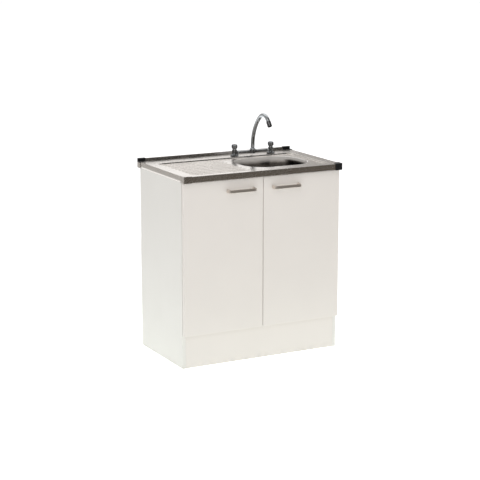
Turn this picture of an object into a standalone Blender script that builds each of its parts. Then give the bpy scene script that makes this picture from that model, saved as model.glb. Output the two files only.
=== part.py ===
"""Two-door kitchen sink cabinet with a sit-on pressed steel sink top and a bridge mixer tap.

Metres, +Z up, +X to the right seen from the front, +Y towards the wall. The origin is on the
floor, under the middle of the overall outline.
"""

import math

import bmesh
import bpy
from mathutils import Matrix, Vector

# Clearances
SEAT_GAP = 0.0003
RUNNING_GAP = 0.0004

# Sink top, pressed and folded from one sheet
TOP_WIDTH = 0.800
TOP_DEPTH = 0.500
RIM_HEIGHT = 0.875
SHEET = 0.001
SKIRT_DROP = 0.028
SKIRT_FOLD = 0.003
RIM_CORNER = 0.006
FRONT_OVERHANG = 0.037
BACK_OVERHANG = 0.021
SIDE_OVERHANG = 0.003
UPSTAND_HEIGHT = 0.012
UPSTAND_DEPTH = 0.010
UPSTAND_FOLD = 0.002

# Sunken work area of the sink top
SIDE_BORDER = 0.048
FRONT_BORDER = 0.032
LEDGE_DEPTH = 0.105
SUNK_DROP = 0.006
SUNK_SLOPE = 0.008
SUNK_CORNER = 0.035
SUNK_SHAPE = ((0.3, 0.15), (0.7, 0.85), (1.0, 1.0))

# Bowl
BOWL_WIDTH = 0.335
BOWL_DROP = 0.150
BOWL_CORNER = 0.110
BOWL_LIP = 0.006
BOWL_FILLET = 0.030
BOWL_DRAFT = math.radians(4)
BOWL_FROM_RIGHT = 0.0755
BOWL_SETBACK = 0.099
BOWL_TO_LEDGE = 0.018
FLOOR_FALL = 0.003

# Drainer ribs
RIB_PITCH = 0.036
RIB_WIDTH = 0.014
RIB_CREST = 0.005
RIB_RISE = 0.003
RIB_SHOULDER = 0.7
RIB_MARGIN = 0.018
RIB_TO_BOWL = 0.034

# Corner caps
CAP_LENGTH = 0.036
CAP_LIP = 0.012
CAP_WALL = 0.0015
CAP_ROUND = 0.006
CAP_UNDER = 0.001

# Carcass
PANEL = 0.016
BACK_PANEL = 0.003
BACK_PANEL_TOP = 0.520
PLINTH_HEIGHT = 0.150
PLINTH_FLOOR_GAP = 0.001
FRONT_RAIL_HEIGHT = 0.060
REAR_RAIL_HEIGHT = 0.100
PANEL_EDGE = 0.0006

# Doors
DOOR_THICKNESS = 0.016
DOOR_GAP = 0.003
DOOR_REVEAL = 0.001
DOOR_SPLIT = 0.003
DOOR_BOTTOM_GAP = 0.002
DOOR_TOP_GAP = 0.004
DOOR_EDGE = 0.0012
BUFFER_RADIUS = 0.004
BUFFER_TIP_RADIUS = 0.0032
BUFFER_FROM_SPLIT = 0.030

# Bow handles
HANDLE_LENGTH = 0.140
HANDLE_FROM_SPLIT = 0.043
HANDLE_BELOW_TOP = 0.050
HANDLE_REACH = 0.030
HANDLE_BAR = 0.009
HANDLE_HEIGHT = 0.012
HANDLE_BEND = 0.010
HANDLE_CHAMFER = 0.002

# Single-pivot cup hinges; U runs inwards from the door's outer edge
HINGE_FROM_END = 0.100
PIVOT_U = 0.0072
PIVOT_BEHIND_FACE = 0.0085
CUP_U = 0.0205
CUP_RADIUS = 0.0172
CUP_WALL = 0.0007
CUP_DEPTH = 0.0127
CUP_FLANGE_RADIUS = 0.0185
CUP_FLANGE = 0.001
CUP_EAR_LENGTH = 0.054
CUP_EAR_WIDTH = 0.014
CUP_EAR_U = 0.026
PIN_RADIUS = 0.0012
KNUCKLE_WALL = 0.0008
KNUCKLE_LENGTH = 0.008
NECK_WIDTH = 0.002
NECK_REACH = 0.010
NECK_TURN = 0.003
ARM_START = 0.004
ARM_LENGTH = 0.060
ARM_HEIGHT = 0.012
ARM_THICKNESS = 0.011
ARM_BEVEL = 0.002
PLATE_THICKNESS = 0.003
PLATE_START = 0.022
PLATE_LENGTH = 0.034
PLATE_HEIGHT = 0.050
PLATE_WAIST = 0.020

# Bridge mixer tap
TAP_BESIDE_DRAIN = 0.006
TAP_FROM_BACK = 0.075
TAP_CENTRES = 0.194
TAP_HOLE = 0.011
SHANK_RADIUS = 0.0095
SHANK_DROP = 0.048
WASHER_RADIUS = 0.0185
WASHER = 0.0015
PILLAR_FLANGE = 0.020
PILLAR_RADIUS = 0.0125
PILLAR_HEIGHT = 0.026
PILLAR_FOOT = 0.0025
PILLAR_FLARE = 0.006
FLARE_SHARE = 0.4
TURNED_EDGE = 0.001
NUT_LOBES = 8
NUT_GRIP = 0.0026
BRIDGE_RADIUS = 0.0075
BRIDGE_HEIGHT = 0.0125
BOSS_RADIUS = 0.0145
BOSS_HEIGHT = 0.0205
BOSS_UNDER = 0.0035
BOSS_CHAMFER = 0.004
SOCKET_DEPTH = 0.010
BACKNUT_RADIUS = 0.0175
BACKNUT = 0.008
BONNET_RADIUS = 0.010
BONNET_HEIGHT = 0.005
SPINDLE_RADIUS = 0.005
SPINDLE_HEIGHT = 0.014
KNOB_RADIUS = 0.0150
KNOB_HEIGHT = 0.021
KNOB_SHAPE = ((0.62, 0.0), (0.90, 0.14), (1.0, 0.32), (1.0, 0.72), (0.90, 0.90), (0.68, 1.0))
KNOB_LOBES = 8
KNOB_LOBE_DEPTH = 0.0013
INDEX_RADIUS = 0.0075
INDEX_HEIGHT = 0.0012
INDEX_EDGE = 0.0005

# Swan-neck spout
SPOUT_RADIUS = 0.008
SPOUT_RISE = 0.017
SPOUT_SWEEP_RADIUS = 0.182
SPOUT_SWEEP = math.radians(55)
SPOUT_CROOK_RADIUS = 0.054
SPOUT_CROOK = math.radians(89)
SPOUT_TIP = 0.012
SPOUT_NUT_RADIUS = 0.0130
SPOUT_NUT_HEIGHT = 0.009
SPOUT_NUT_CHAMFER = 0.002
NOZZLE_RADIUS = 0.011
NOZZLE_LENGTH = 0.026
NOZZLE_LAP = 0.010
NOZZLE_MOUTH = 0.0085
NOZZLE_RECESS = 0.006

# Basket waste
DRAIN_HOLE = 0.045
SEAT_RADIUS = 0.057
SEAT_DROP = 0.003
WASTE_RIM_RADIUS = 0.0555
WASTE_RIM = 0.0012
WASTE_CUP_RADIUS = 0.0425
WASTE_CUP_DEPTH = 0.036
WASTE_WALL = 0.0012
WASTE_OUTLET = 0.019
GASKET_RADIUS = 0.0555
GASKET = 0.002
WASTE_NUT_RADIUS = 0.0545
WASTE_NUT = 0.012
BASKET_GAP = 0.0015
BASKET_DEPTH = 0.028
BASKET_WALL = 0.001
BASKET_STEM = 0.004
BASKET_KNOB = 0.008
BASKET_HOLES = 10
BASKET_HOLE = 0.0032
BASKET_CURVE = 0.005
BASKET_KNOB_HEIGHT = 0.008
BASKET_KNOB_EDGE = 0.002
BASKET_KNOB_BELOW_RIM = 0.002

# Bottle trap
TAIL_FLANGE_RADIUS = 0.030
TAIL_FLANGE = 0.004
TAIL_TAPER = 0.006
TAIL_RADIUS = 0.016
TAIL_LENGTH = 0.055
TRAP_RADIUS = 0.030
TRAP_NECK = 0.020
TRAP_NECK_HEIGHT = 0.022
TRAP_HEIGHT = 0.100
TRAP_SHOULDER = 0.010
TRAP_OUTLET_DROP = 0.048
TRAP_OUTLET_REACH = 0.048
TRAP_OUTLET_RADIUS = 0.0185
TRAP_NUT_RADIUS = 0.026
TRAP_NUT = 0.018
TRAP_CUP_RADIUS = 0.0335
TRAP_CUP_HEIGHT = 0.034
TRAP_CUP_BASE = 0.006
PIPE_RADIUS = 0.020
PIPE_WALL = 0.002
PIPE_BEHIND_CARCASS = 0.013

# Facets
ROUND = 20
FINE_ROUND = 24
SMALL_ROUND = 16
HOLE_ROUND = 12
PIERCED_ROUND = 6
CORNER_STEPS = 7
SUNK_CORNER_STEPS = 5
RIM_CORNER_STEPS = 2
STRAIGHT_POINTS = 3
LIP_STEPS = 3
FOLD_STEPS = 3
TIGHT_FOLD_STEPS = 2
BEND_STEPS = 4
CAP_STEPS = 3
SWEEP_STEPS = 9
CROOK_STEPS = 10
SMOOTH_ANGLE = math.radians(38)

# Places worked out from the sizes above
CAP_STANDOFF = SEAT_GAP + CAP_WALL
CARCASS_WIDTH = TOP_WIDTH - 2 * SIDE_OVERHANG
CARCASS_DEPTH = TOP_DEPTH - FRONT_OVERHANG - BACK_OVERHANG
DOOR_FACE = DOOR_GAP + DOOR_THICKNESS
REACH_FORWARD = max(DOOR_FACE + HANDLE_REACH, FRONT_OVERHANG + CAP_STANDOFF)
REACH_BACK = TOP_DEPTH - FRONT_OVERHANG + CAP_STANDOFF
CARCASS_FRONT = (REACH_FORWARD - REACH_BACK) / 2
CARCASS_BACK = CARCASS_FRONT + CARCASS_DEPTH
TOP_FRONT = CARCASS_FRONT - FRONT_OVERHANG
TOP_BACK = TOP_FRONT + TOP_DEPTH
SIDE_INNER = CARCASS_WIDTH / 2 - PANEL
PANEL_TOP = RIM_HEIGHT - SHEET - SEAT_GAP
SUNK_HEIGHT = RIM_HEIGHT - SUNK_DROP
BOWL_FRONT = TOP_FRONT + BOWL_SETBACK
BOWL_BREADTH = TOP_DEPTH - BOWL_SETBACK - LEDGE_DEPTH - BOWL_TO_LEDGE
BOWL_CENTRE_Y = BOWL_FRONT + BOWL_BREADTH / 2
BOWL_LEFT = TOP_WIDTH / 2 - BOWL_FROM_RIGHT - BOWL_WIDTH
BOWL_CENTRE_X = BOWL_LEFT + BOWL_WIDTH / 2
SEAT_HEIGHT = SUNK_HEIGHT - BOWL_DROP - FLOOR_FALL - SEAT_DROP
BOTTOM_TOP = PLINTH_HEIGHT + SEAT_GAP + PANEL
DOOR_BOTTOM = PLINTH_HEIGHT + DOOR_BOTTOM_GAP
DOOR_TOP = RIM_HEIGHT - SKIRT_DROP - DOOR_TOP_GAP
DOOR_OUTER = CARCASS_WIDTH / 2 - DOOR_REVEAL
TAP_CENTRE_X = BOWL_CENTRE_X + TAP_BESIDE_DRAIN
TAP_Y = TOP_BACK - TAP_FROM_BACK
TAP_BASE = RIM_HEIGHT + SEAT_GAP + WASHER + SEAT_GAP
PILLAR_TOP = TAP_BASE + PILLAR_HEIGHT
BOSS_TOP = TAP_BASE + BOSS_HEIGHT

FINISHES = {
    "melamine": ((0.80, 0.77, 0.73), 0.45, 0.0),
    "hardboard": ((0.42, 0.30, 0.19), 0.75, 0.0),
    "steel": ((0.66, 0.64, 0.61), 0.25, 1.0),
    "chrome": ((0.72, 0.73, 0.74), 0.08, 1.0),
    "handle_metal": ((0.36, 0.33, 0.30), 0.35, 1.0),
    "nickel": ((0.62, 0.61, 0.58), 0.30, 1.0),
    "black_plastic": ((0.012, 0.012, 0.013), 0.45, 0.0),
    "rubber": ((0.03, 0.03, 0.03), 0.8, 0.0),
    "white_plastic": ((0.82, 0.82, 0.80), 0.4, 0.0),
    "brass": ((0.70, 0.52, 0.24), 0.35, 1.0),
}


def clear_scene():
    for item in list(bpy.data.objects):
        bpy.data.objects.remove(item, do_unlink=True)


def finish_material(name):
    """The Principled material of one finish, made at its first use."""
    found = bpy.data.materials.get(name)
    if found:
        return found
    colour, roughness, metallic = FINISHES[name]
    material = bpy.data.materials.new(name)
    material.use_nodes = True
    shader = material.node_tree.nodes["Principled BSDF"]
    shader.inputs["Base Color"].default_value = (*colour, 1.0)
    shader.inputs["Roughness"].default_value = roughness
    shader.inputs["Metallic"].default_value = metallic
    return material


def add_piece(name, bm, finish, smooth=False):
    """A bmesh with its world coordinates becomes a named object."""
    mesh = bpy.data.meshes.new(name)
    bm.to_mesh(mesh)
    bm.free()
    mesh.materials.append(finish_material(finish))
    if smooth:
        mesh.shade_smooth()
        mesh.set_sharp_from_angle(angle=SMOOTH_ANGLE)
    piece = bpy.data.objects.new(name, mesh)
    bpy.context.scene.collection.objects.link(piece)
    return piece


def add_axis(name, point):
    """An empty on a joint's axis, which carries the pieces that move about it."""
    axis = bpy.data.objects.new(name, None)
    axis.location = point
    bpy.context.scene.collection.objects.link(axis)
    return axis


def carry(axis, pieces):
    """Parents pieces to an axis and leaves them where they are."""
    for piece in pieces:
        piece.parent = axis
        piece.matrix_parent_inverse = Matrix.Translation(axis.location).inverted()


def combine(piece, tool, operation):
    """A Boolean with another solid, which is then only a guide."""
    modifier = piece.modifiers.new(tool.name, "BOOLEAN")
    modifier.operation = operation
    modifier.object = tool
    modifier.solver = "EXACT"
    tool.hide_render = True
    tool.display_type = "WIRE"


def round_edges(piece, width, segments=1):
    bevel = piece.modifiers.new("edges", "BEVEL")
    bevel.width = width
    bevel.segments = segments
    bevel.limit_method = "ANGLE"


def bridge(bm, first, second, closed=True):
    """Quads between two rings with the same number of points."""
    count = len(first)
    for i in range(count if closed else count - 1):
        j = (i + 1) % count
        bm.faces.new((first[i], first[j], second[j], second[i]))


def ring(bm, points):
    return [bm.verts.new(point) for point in points]


def fill(bm, rings):
    """Fills the flat area inside the first ring and outside the others."""
    edges = []
    for loop in rings:
        for i, vert in enumerate(loop):
            pair = (vert, loop[(i + 1) % len(loop)])
            edges.append(bm.edges.get(pair) or bm.edges.new(pair))
    bmesh.ops.triangle_fill(bm, use_beauty=True, use_dissolve=False, edges=edges, normal=(0, 0, 1))


def circle(centre, radius, count, turn=0.0):
    step = 2 * math.pi / count
    return [
        (centre[0] + radius * math.cos(turn + i * step), centre[1] + radius * math.sin(turn + i * step))
        for i in range(count)
    ]


def rounded_outline(x0, x1, y0, y1, radius, steps, between=0):
    """Corners in the order front right, back right, back left, front left, with points between them."""
    corners = ((x1 - radius, y0 + radius, -90), (x1 - radius, y1 - radius, 0),
               (x0 + radius, y1 - radius, 90), (x0 + radius, y0 + radius, 180))
    arcs = []
    for cx, cy, start in corners:
        angles = [math.radians(start + 90 * i / steps) for i in range(steps + 1)]
        arcs.append([(cx + radius * math.cos(angle), cy + radius * math.sin(angle)) for angle in angles])
    points = []
    for arc, following in zip(arcs, arcs[1:] + arcs[:1]):
        points += arc
        (ax, ay), (bx, by) = arc[-1], following[0]
        for i in range(1, between + 1):
            share = i / (between + 1)
            points.append((ax + (bx - ax) * share, ay + (by - ay) * share))
    return points


def at_height(outline, z):
    return [(x, y, z) for x, y in outline]


def prism_mesh(outline, low, high):
    """A flat outline made solid between two heights."""
    bm = bmesh.new()
    bottom = ring(bm, at_height(outline, low))
    top = ring(bm, at_height(outline, high))
    bridge(bm, bottom, top)
    bm.faces.new(bottom)
    bm.faces.new(top)
    bmesh.ops.recalc_face_normals(bm, faces=bm.faces)
    return bm


def box_mesh(low, high):
    outline = ((low[0], low[1]), (high[0], low[1]), (high[0], high[1]), (low[0], high[1]))
    return prism_mesh(outline, low[2], high[2])


def lathe_mesh(profile, count, centre=(0, 0, 0), lobes=0, lobe_depth=0.0, lobed=()):
    """Turns (radius, height) points about a vertical axis.

    A profile that starts and ends on the axis makes a solid, and any other is a closed ring.
    The points numbered in lobed get a wavy grip.
    """
    bm = bmesh.new()
    x, y, z = centre
    rings = []
    for index, (radius, height) in enumerate(profile):
        if radius == 0:
            rings.append([bm.verts.new((x, y, z + height))])
            continue
        loop = []
        for i in range(count):
            angle = 2 * math.pi * i / count
            wave = lobe_depth * (1 - math.cos(lobes * angle)) / 2 if index in lobed else 0
            reach = radius - wave
            point = (x + reach * math.cos(angle), y + reach * math.sin(angle), z + height)
            loop.append(bm.verts.new(point))
        rings.append(loop)
    closed = len(rings[0]) > 1
    for first, second in zip(rings, rings[1:] + rings[:1] if closed else rings[1:]):
        if len(first) == 1:
            for i in range(count):
                bm.faces.new((first[0], second[i], second[(i + 1) % count]))
        elif len(second) == 1:
            for i in range(count):
                bm.faces.new((first[i], first[(i + 1) % count], second[0]))
        else:
            bridge(bm, first, second)
    bmesh.ops.recalc_face_normals(bm, faces=bm.faces)
    return bm


def sweep_mesh(path, section, across, upright):
    """Carries a section along a flat path; across gives the path's side direction at a tangent."""
    bm = bmesh.new()
    rings = []
    for i, point in enumerate(path):
        ahead = path[min(i + 1, len(path) - 1)] - path[max(i - 1, 0)]
        side = across(ahead.normalized())
        rings.append(ring(bm, [point + side * a + upright * b for a, b in section]))
    for first, second in zip(rings, rings[1:]):
        bridge(bm, first, second)
    bm.faces.new(rings[0])
    bm.faces.new(rings[-1])
    bmesh.ops.recalc_face_normals(bm, faces=bm.faces)
    return bm


def fold(radius, steps, rise):
    """Points (outwards, upwards) of a quarter bend in a sheet, turning up or down."""
    points = []
    for i in range(1, steps + 1):
        angle = math.radians(90 * i / steps)
        points.append((radius * math.sin(angle), rise * radius * (1 - math.cos(angle))))
    return points


def flange(bm, pair, outward, profile):
    """A strip of sheet that leaves an edge and follows (outwards, upwards) points."""
    start = [vert.co.copy() for vert in pair]
    last = list(pair)
    for reach, rise in profile:
        step = [bm.verts.new(point + outward * reach + Vector((0, 0, rise))) for point in start]
        bm.faces.new((last[0], last[1], step[1], step[0]))
        last = step


def bowl_profile():
    """Points (inset, drop) from the sunken area over the lip, down the wall and round the floor."""
    steep = math.pi / 2 - BOWL_DRAFT
    points = []
    for i in range(1, LIP_STEPS + 1):
        angle = steep * i / LIP_STEPS
        points.append((BOWL_LIP * math.sin(angle), BOWL_LIP * (1 - math.cos(angle))))
    bends = (BOWL_LIP + BOWL_FILLET) * (1 - math.cos(steep))
    wall = (BOWL_DROP - bends) / math.cos(BOWL_DRAFT)
    inset = points[-1][0] + wall * math.sin(BOWL_DRAFT)
    drop = points[-1][1] + wall * math.cos(BOWL_DRAFT)
    for i in range(BEND_STEPS + 1):
        angle = steep * (1 - i / BEND_STEPS)
        points.append((inset + BOWL_FILLET * (math.sin(steep) - math.sin(angle)),
                       drop + BOWL_FILLET * (math.cos(angle) - math.cos(steep))))
    return points


def bowl_outline(inset):
    return rounded_outline(BOWL_LEFT + inset, BOWL_LEFT + BOWL_WIDTH - inset,
                           BOWL_FRONT + inset, BOWL_FRONT + BOWL_BREADTH - inset,
                           BOWL_CORNER - inset, CORNER_STEPS, STRAIGHT_POINTS)


def drain_ring(radius):
    """A circle round the drain whose points face those of the bowl's outline."""
    points = []
    for x, y in bowl_outline(0):
        angle = math.atan2(y - BOWL_CENTRE_Y, x - BOWL_CENTRE_X)
        points.append((BOWL_CENTRE_X + radius * math.cos(angle), BOWL_CENTRE_Y + radius * math.sin(angle)))
    return points


def add_bowl(bm):
    """Hangs the bowl in the sunken area and returns its mouth."""
    mouth = ring(bm, at_height(bowl_outline(0), SUNK_HEIGHT))
    last = mouth
    for inset, drop in bowl_profile():
        step = ring(bm, at_height(bowl_outline(inset), SUNK_HEIGHT - drop))
        bridge(bm, last, step)
        last = step
    floor = SUNK_HEIGHT - BOWL_DROP - FLOOR_FALL
    seat = ((SEAT_RADIUS, floor), (SEAT_RADIUS - SEAT_DROP / 2, SEAT_HEIGHT), (DRAIN_HOLE, SEAT_HEIGHT))
    for radius, z in seat:
        step = ring(bm, at_height(drain_ring(radius), z))
        bridge(bm, last, step)
        last = step
    return mouth


def rib_outline(x0, x1, y, width):
    """A long slot shape with round ends."""
    radius = width / 2
    points = []
    for centre, start in ((x1 - radius, -90), (x0 + radius, 90)):
        for i in range(BEND_STEPS + 1):
            angle = math.radians(start + 180 * i / BEND_STEPS)
            points.append((centre + radius * math.cos(angle), y + radius * math.sin(angle)))
    return points


def add_ribs(bm, area):
    """Raises the drainer's ribs and returns the outlines at their feet."""
    x0 = area[0] + RIB_MARGIN
    x1 = BOWL_LEFT - RIB_TO_BOWL
    y0 = area[2] + RIB_MARGIN + RIB_WIDTH / 2
    y1 = area[3] - RIB_MARGIN - RIB_WIDTH / 2
    count = int((y1 - y0) / RIB_PITCH) + 1
    start = (y0 + y1 - (count - 1) * RIB_PITCH) / 2
    feet = []
    middle = (RIB_WIDTH + RIB_CREST) / 2
    for i in range(count):
        y = start + i * RIB_PITCH
        last = ring(bm, at_height(rib_outline(x0, x1, y, RIB_WIDTH), SUNK_HEIGHT))
        feet.append(last)
        for width, share in ((middle, RIB_SHOULDER), (RIB_CREST, 1.0)):
            trim = (RIB_WIDTH - width) / 2
            outline = rib_outline(x0 + trim, x1 - trim, y, width)
            step = ring(bm, at_height(outline, SUNK_HEIGHT + RIB_RISE * share))
            bridge(bm, last, step)
            last = step
        bm.faces.new(last)
    return feet


def make_sink_top():
    """One sheet: rim, sunken area with drainer ribs, bowl, folded skirts and upstand."""
    bm = bmesh.new()
    half = TOP_WIDTH / 2 - SKIRT_FOLD
    rim = ring(bm, at_height(rounded_outline(-half, half, TOP_FRONT + SKIRT_FOLD, TOP_BACK - UPSTAND_DEPTH,
                                             RIM_CORNER, RIM_CORNER_STEPS), RIM_HEIGHT))
    brink = (-TOP_WIDTH / 2 + SIDE_BORDER, TOP_WIDTH / 2 - SIDE_BORDER,
             TOP_FRONT + FRONT_BORDER, TOP_BACK - LEDGE_DEPTH)
    edge = ring(bm, at_height(rounded_outline(*brink, SUNK_CORNER, SUNK_CORNER_STEPS), RIM_HEIGHT))
    holes = []
    for side in (-1, 1):
        centre = (TAP_CENTRE_X + side * TAP_CENTRES / 2, TAP_Y)
        holes.append(ring(bm, at_height(circle(centre, TAP_HOLE, HOLE_ROUND), RIM_HEIGHT)))
    fill(bm, [rim, edge, *holes])
    last = edge
    for share, depth in SUNK_SHAPE:
        inset = SUNK_SLOPE * share
        area = (brink[0] + inset, brink[1] - inset, brink[2] + inset, brink[3] - inset)
        outline = rounded_outline(*area, SUNK_CORNER - inset, SUNK_CORNER_STEPS)
        step = ring(bm, at_height(outline, RIM_HEIGHT - SUNK_DROP * depth))
        bridge(bm, last, step)
        last = step
    mouth = add_bowl(bm)
    fill(bm, [last, mouth, *add_ribs(bm, area)])

    skirt = fold(SKIRT_FOLD, FOLD_STEPS, -1) + [(SKIRT_FOLD, -SKIRT_DROP)]
    bend = fold(UPSTAND_FOLD, TIGHT_FOLD_STEPS, 1)
    climb = [(UPSTAND_FOLD, UPSTAND_HEIGHT - UPSTAND_FOLD)]
    over = [(2 * UPSTAND_FOLD - out, UPSTAND_HEIGHT - rise) for out, rise in reversed(bend[:-1])]
    crest = [(2 * UPSTAND_FOLD, UPSTAND_HEIGHT), (UPSTAND_DEPTH - UPSTAND_FOLD, UPSTAND_HEIGHT)]
    back = [(UPSTAND_DEPTH - UPSTAND_FOLD + out, UPSTAND_HEIGHT - rise) for out, rise in bend]
    upstand = bend + climb + over + crest + back + [(UPSTAND_DEPTH, -SKIRT_DROP)]
    sides = ((Vector((1, 0, 0)), skirt), (Vector((0, 1, 0)), upstand),
             (Vector((-1, 0, 0)), skirt), (Vector((0, -1, 0)), skirt))
    per_corner = len(rim) // 4
    for i, (outward, profile) in enumerate(sides):
        first = rim[(i + 1) * per_corner - 1]
        second = rim[(i + 1) * per_corner % len(rim)]
        flange(bm, (first, second), outward, profile)
    bmesh.ops.recalc_face_normals(bm, faces=bm.faces)
    if sum(face.normal.z * face.calc_area() for face in bm.faces) < 0:
        bmesh.ops.reverse_faces(bm, faces=bm.faces)
    top = add_piece("sink_top", bm, "steel", smooth=True)
    thicken = top.modifiers.new("sheet", "SOLIDIFY")
    thicken.thickness = SHEET
    thicken.offset = -1
    thicken.use_even_offset = True


def cap_place(side, back):
    """A function from distances inside a corner's outer faces to X and Y."""
    def place(a, b):
        return (side * (TOP_WIDTH / 2 - a), TOP_BACK - b if back else TOP_FRONT + b)
    return place


def make_corner_caps():
    """Plastic corners over the slits where the folded skirts meet."""
    low = RIM_HEIGHT - SKIRT_DROP - CAP_UNDER
    out = -CAP_STANDOFF
    angles = [math.radians(90 * i / CAP_STEPS) for i in range(CAP_STEPS + 1)]
    turn = [(out + CAP_ROUND * (1 - math.sin(t)), out + CAP_ROUND * (1 - math.cos(t))) for t in angles]
    plan = [(CAP_LENGTH, out), *turn, (out, CAP_LENGTH), (CAP_LIP, CAP_LENGTH), (CAP_LENGTH, CAP_LIP)]
    room = [(-SEAT_GAP, -SEAT_GAP), (2 * CAP_LENGTH, -SEAT_GAP), (2 * CAP_LENGTH, 2 * CAP_LENGTH),
            (-SEAT_GAP, 2 * CAP_LENGTH)]
    hood_in = UPSTAND_DEPTH + CAP_STANDOFF
    hood = [(CAP_LENGTH, out), *turn, (out, hood_in), (CAP_LENGTH, hood_in)]
    hood_room = [(-SEAT_GAP, -SEAT_GAP), (2 * CAP_LENGTH, -SEAT_GAP),
                 (2 * CAP_LENGTH, UPSTAND_DEPTH + SEAT_GAP), (-SEAT_GAP, UPSTAND_DEPTH + SEAT_GAP)]
    for depth_name, back in (("front", False), ("back", True)):
        for side_name, side in (("left", -1), ("right", 1)):
            place = cap_place(side, back)
            name = f"corner_cap_{depth_name}_{side_name}"
            solids = [(plan, low, RIM_HEIGHT + CAP_STANDOFF, "UNION"),
                      (room, low - CAP_LENGTH, RIM_HEIGHT + SEAT_GAP, "DIFFERENCE")]
            if back:
                crest = RIM_HEIGHT + UPSTAND_HEIGHT
                solids.insert(1, (hood, low, crest + CAP_STANDOFF, "UNION"))
                solids.append((hood_room, low - CAP_LENGTH, crest + SEAT_GAP, "DIFFERENCE"))
            cap = None
            for index, (outline, bottom, top, operation) in enumerate(solids):
                bm = prism_mesh([place(a, b) for a, b in outline], bottom, top)
                piece = add_piece(name if cap is None else f"{name}_tool_{index}", bm, "black_plastic")
                if cap is None:
                    cap = piece
                else:
                    combine(cap, piece, operation)


def make_panel(name, low, high, finish="melamine"):
    panel = add_piece(name, box_mesh(low, high), finish)
    round_edges(panel, PANEL_EDGE)
    return panel


def make_carcass():
    inner = SIDE_INNER - SEAT_GAP
    back = CARCASS_BACK - BACK_PANEL - SEAT_GAP
    for name, side in (("side_panel_left", -1), ("side_panel_right", 1)):
        faces = sorted((side * SIDE_INNER, side * CARCASS_WIDTH / 2))
        make_panel(name, (faces[0], CARCASS_FRONT, 0), (faces[1], back, PANEL_TOP))
    make_panel("bottom_panel", (-inner, CARCASS_FRONT, PLINTH_HEIGHT + SEAT_GAP), (inner, back, BOTTOM_TOP))
    make_panel("plinth", (-inner, CARCASS_FRONT, PLINTH_FLOOR_GAP),
               (inner, CARCASS_FRONT + PANEL, PLINTH_HEIGHT))
    rail_top = SUNK_HEIGHT - SHEET - SEAT_GAP
    make_panel("front_rail", (-inner, CARCASS_FRONT, rail_top - FRONT_RAIL_HEIGHT),
               (inner, CARCASS_FRONT + PANEL, rail_top))
    make_panel("rear_rail", (-inner, back - PANEL, PANEL_TOP - REAR_RAIL_HEIGHT), (inner, back, PANEL_TOP))
    half = CARCASS_WIDTH / 2 - DOOR_REVEAL
    make_panel("back_panel", (-half, CARCASS_BACK - BACK_PANEL, PLINTH_HEIGHT + SEAT_GAP),
               (half, CARCASS_BACK, BACK_PANEL_TOP), "hardboard")


def make_buffers():
    """Soft stops on the carcass that the closed doors rest against."""
    rail_middle = SUNK_HEIGHT - SHEET - SEAT_GAP - FRONT_RAIL_HEIGHT / 2
    heights = (("upper", min(rail_middle, DOOR_TOP - 2 * BUFFER_RADIUS)), ("lower", BOTTOM_TOP - PANEL / 2))
    for side_name, side in (("left", -1), ("right", 1)):
        for level, z in heights:
            bm = lathe_mesh([(0, SEAT_GAP), (BUFFER_RADIUS, SEAT_GAP),
                             (BUFFER_TIP_RADIUS, DOOR_GAP - SEAT_GAP), (0, DOOR_GAP - SEAT_GAP)], SMALL_ROUND)
            place = Matrix.Translation((side * BUFFER_FROM_SPLIT, CARCASS_FRONT, z))
            bm.transform(place @ Matrix.Rotation(math.radians(90), 4, "X"))
            add_piece(f"door_buffer_{side_name}_{level}", bm, "white_plastic", smooth=True)


def hinge_heights():
    return (("upper", DOOR_TOP - HINGE_FROM_END), ("lower", DOOR_BOTTOM + HINGE_FROM_END))


def hinge_place(side):
    """A function from U inwards and V forwards of the carcass to X and Y on one side."""
    def place(u, v):
        return (side * (DOOR_OUTER - u), CARCASS_FRONT - v)
    return place


def make_handle(side_name, side):
    """A bow handle: one bar with both ends bent back to the door."""
    face = CARCASS_FRONT - DOOR_FACE - SEAT_GAP
    front = CARCASS_FRONT - DOOR_FACE - HANDLE_REACH + HANDLE_BAR / 2
    inner = DOOR_SPLIT / 2 + HANDLE_FROM_SPLIT + HANDLE_BAR / 2
    outer = inner + HANDLE_LENGTH - HANDLE_BAR
    z = DOOR_TOP - HANDLE_BELOW_TOP
    path = [(inner, face)]
    for i in range(BEND_STEPS + 1):
        angle = math.radians(90 * i / BEND_STEPS)
        path.append((inner + HANDLE_BEND * (1 - math.cos(angle)),
                     front + HANDLE_BEND * (1 - math.sin(angle))))
    path += [(inner + outer - x, y) for x, y in reversed(path)]
    half, tall = HANDLE_BAR / 2, HANDLE_HEIGHT / 2
    cut = HANDLE_CHAMFER
    section = [(-half, cut - tall), (cut - half, -tall), (half - cut, -tall), (half, cut - tall),
               (half, tall - cut), (half - cut, tall), (cut - half, tall), (-half, tall - cut)]
    bm = sweep_mesh([Vector((side * x, y, z)) for x, y in path], section,
                    lambda ahead: Vector((-ahead.y, ahead.x, 0)), Vector((0, 0, 1)))
    return add_piece(f"handle_{side_name}", bm, "handle_metal", smooth=True)


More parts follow.
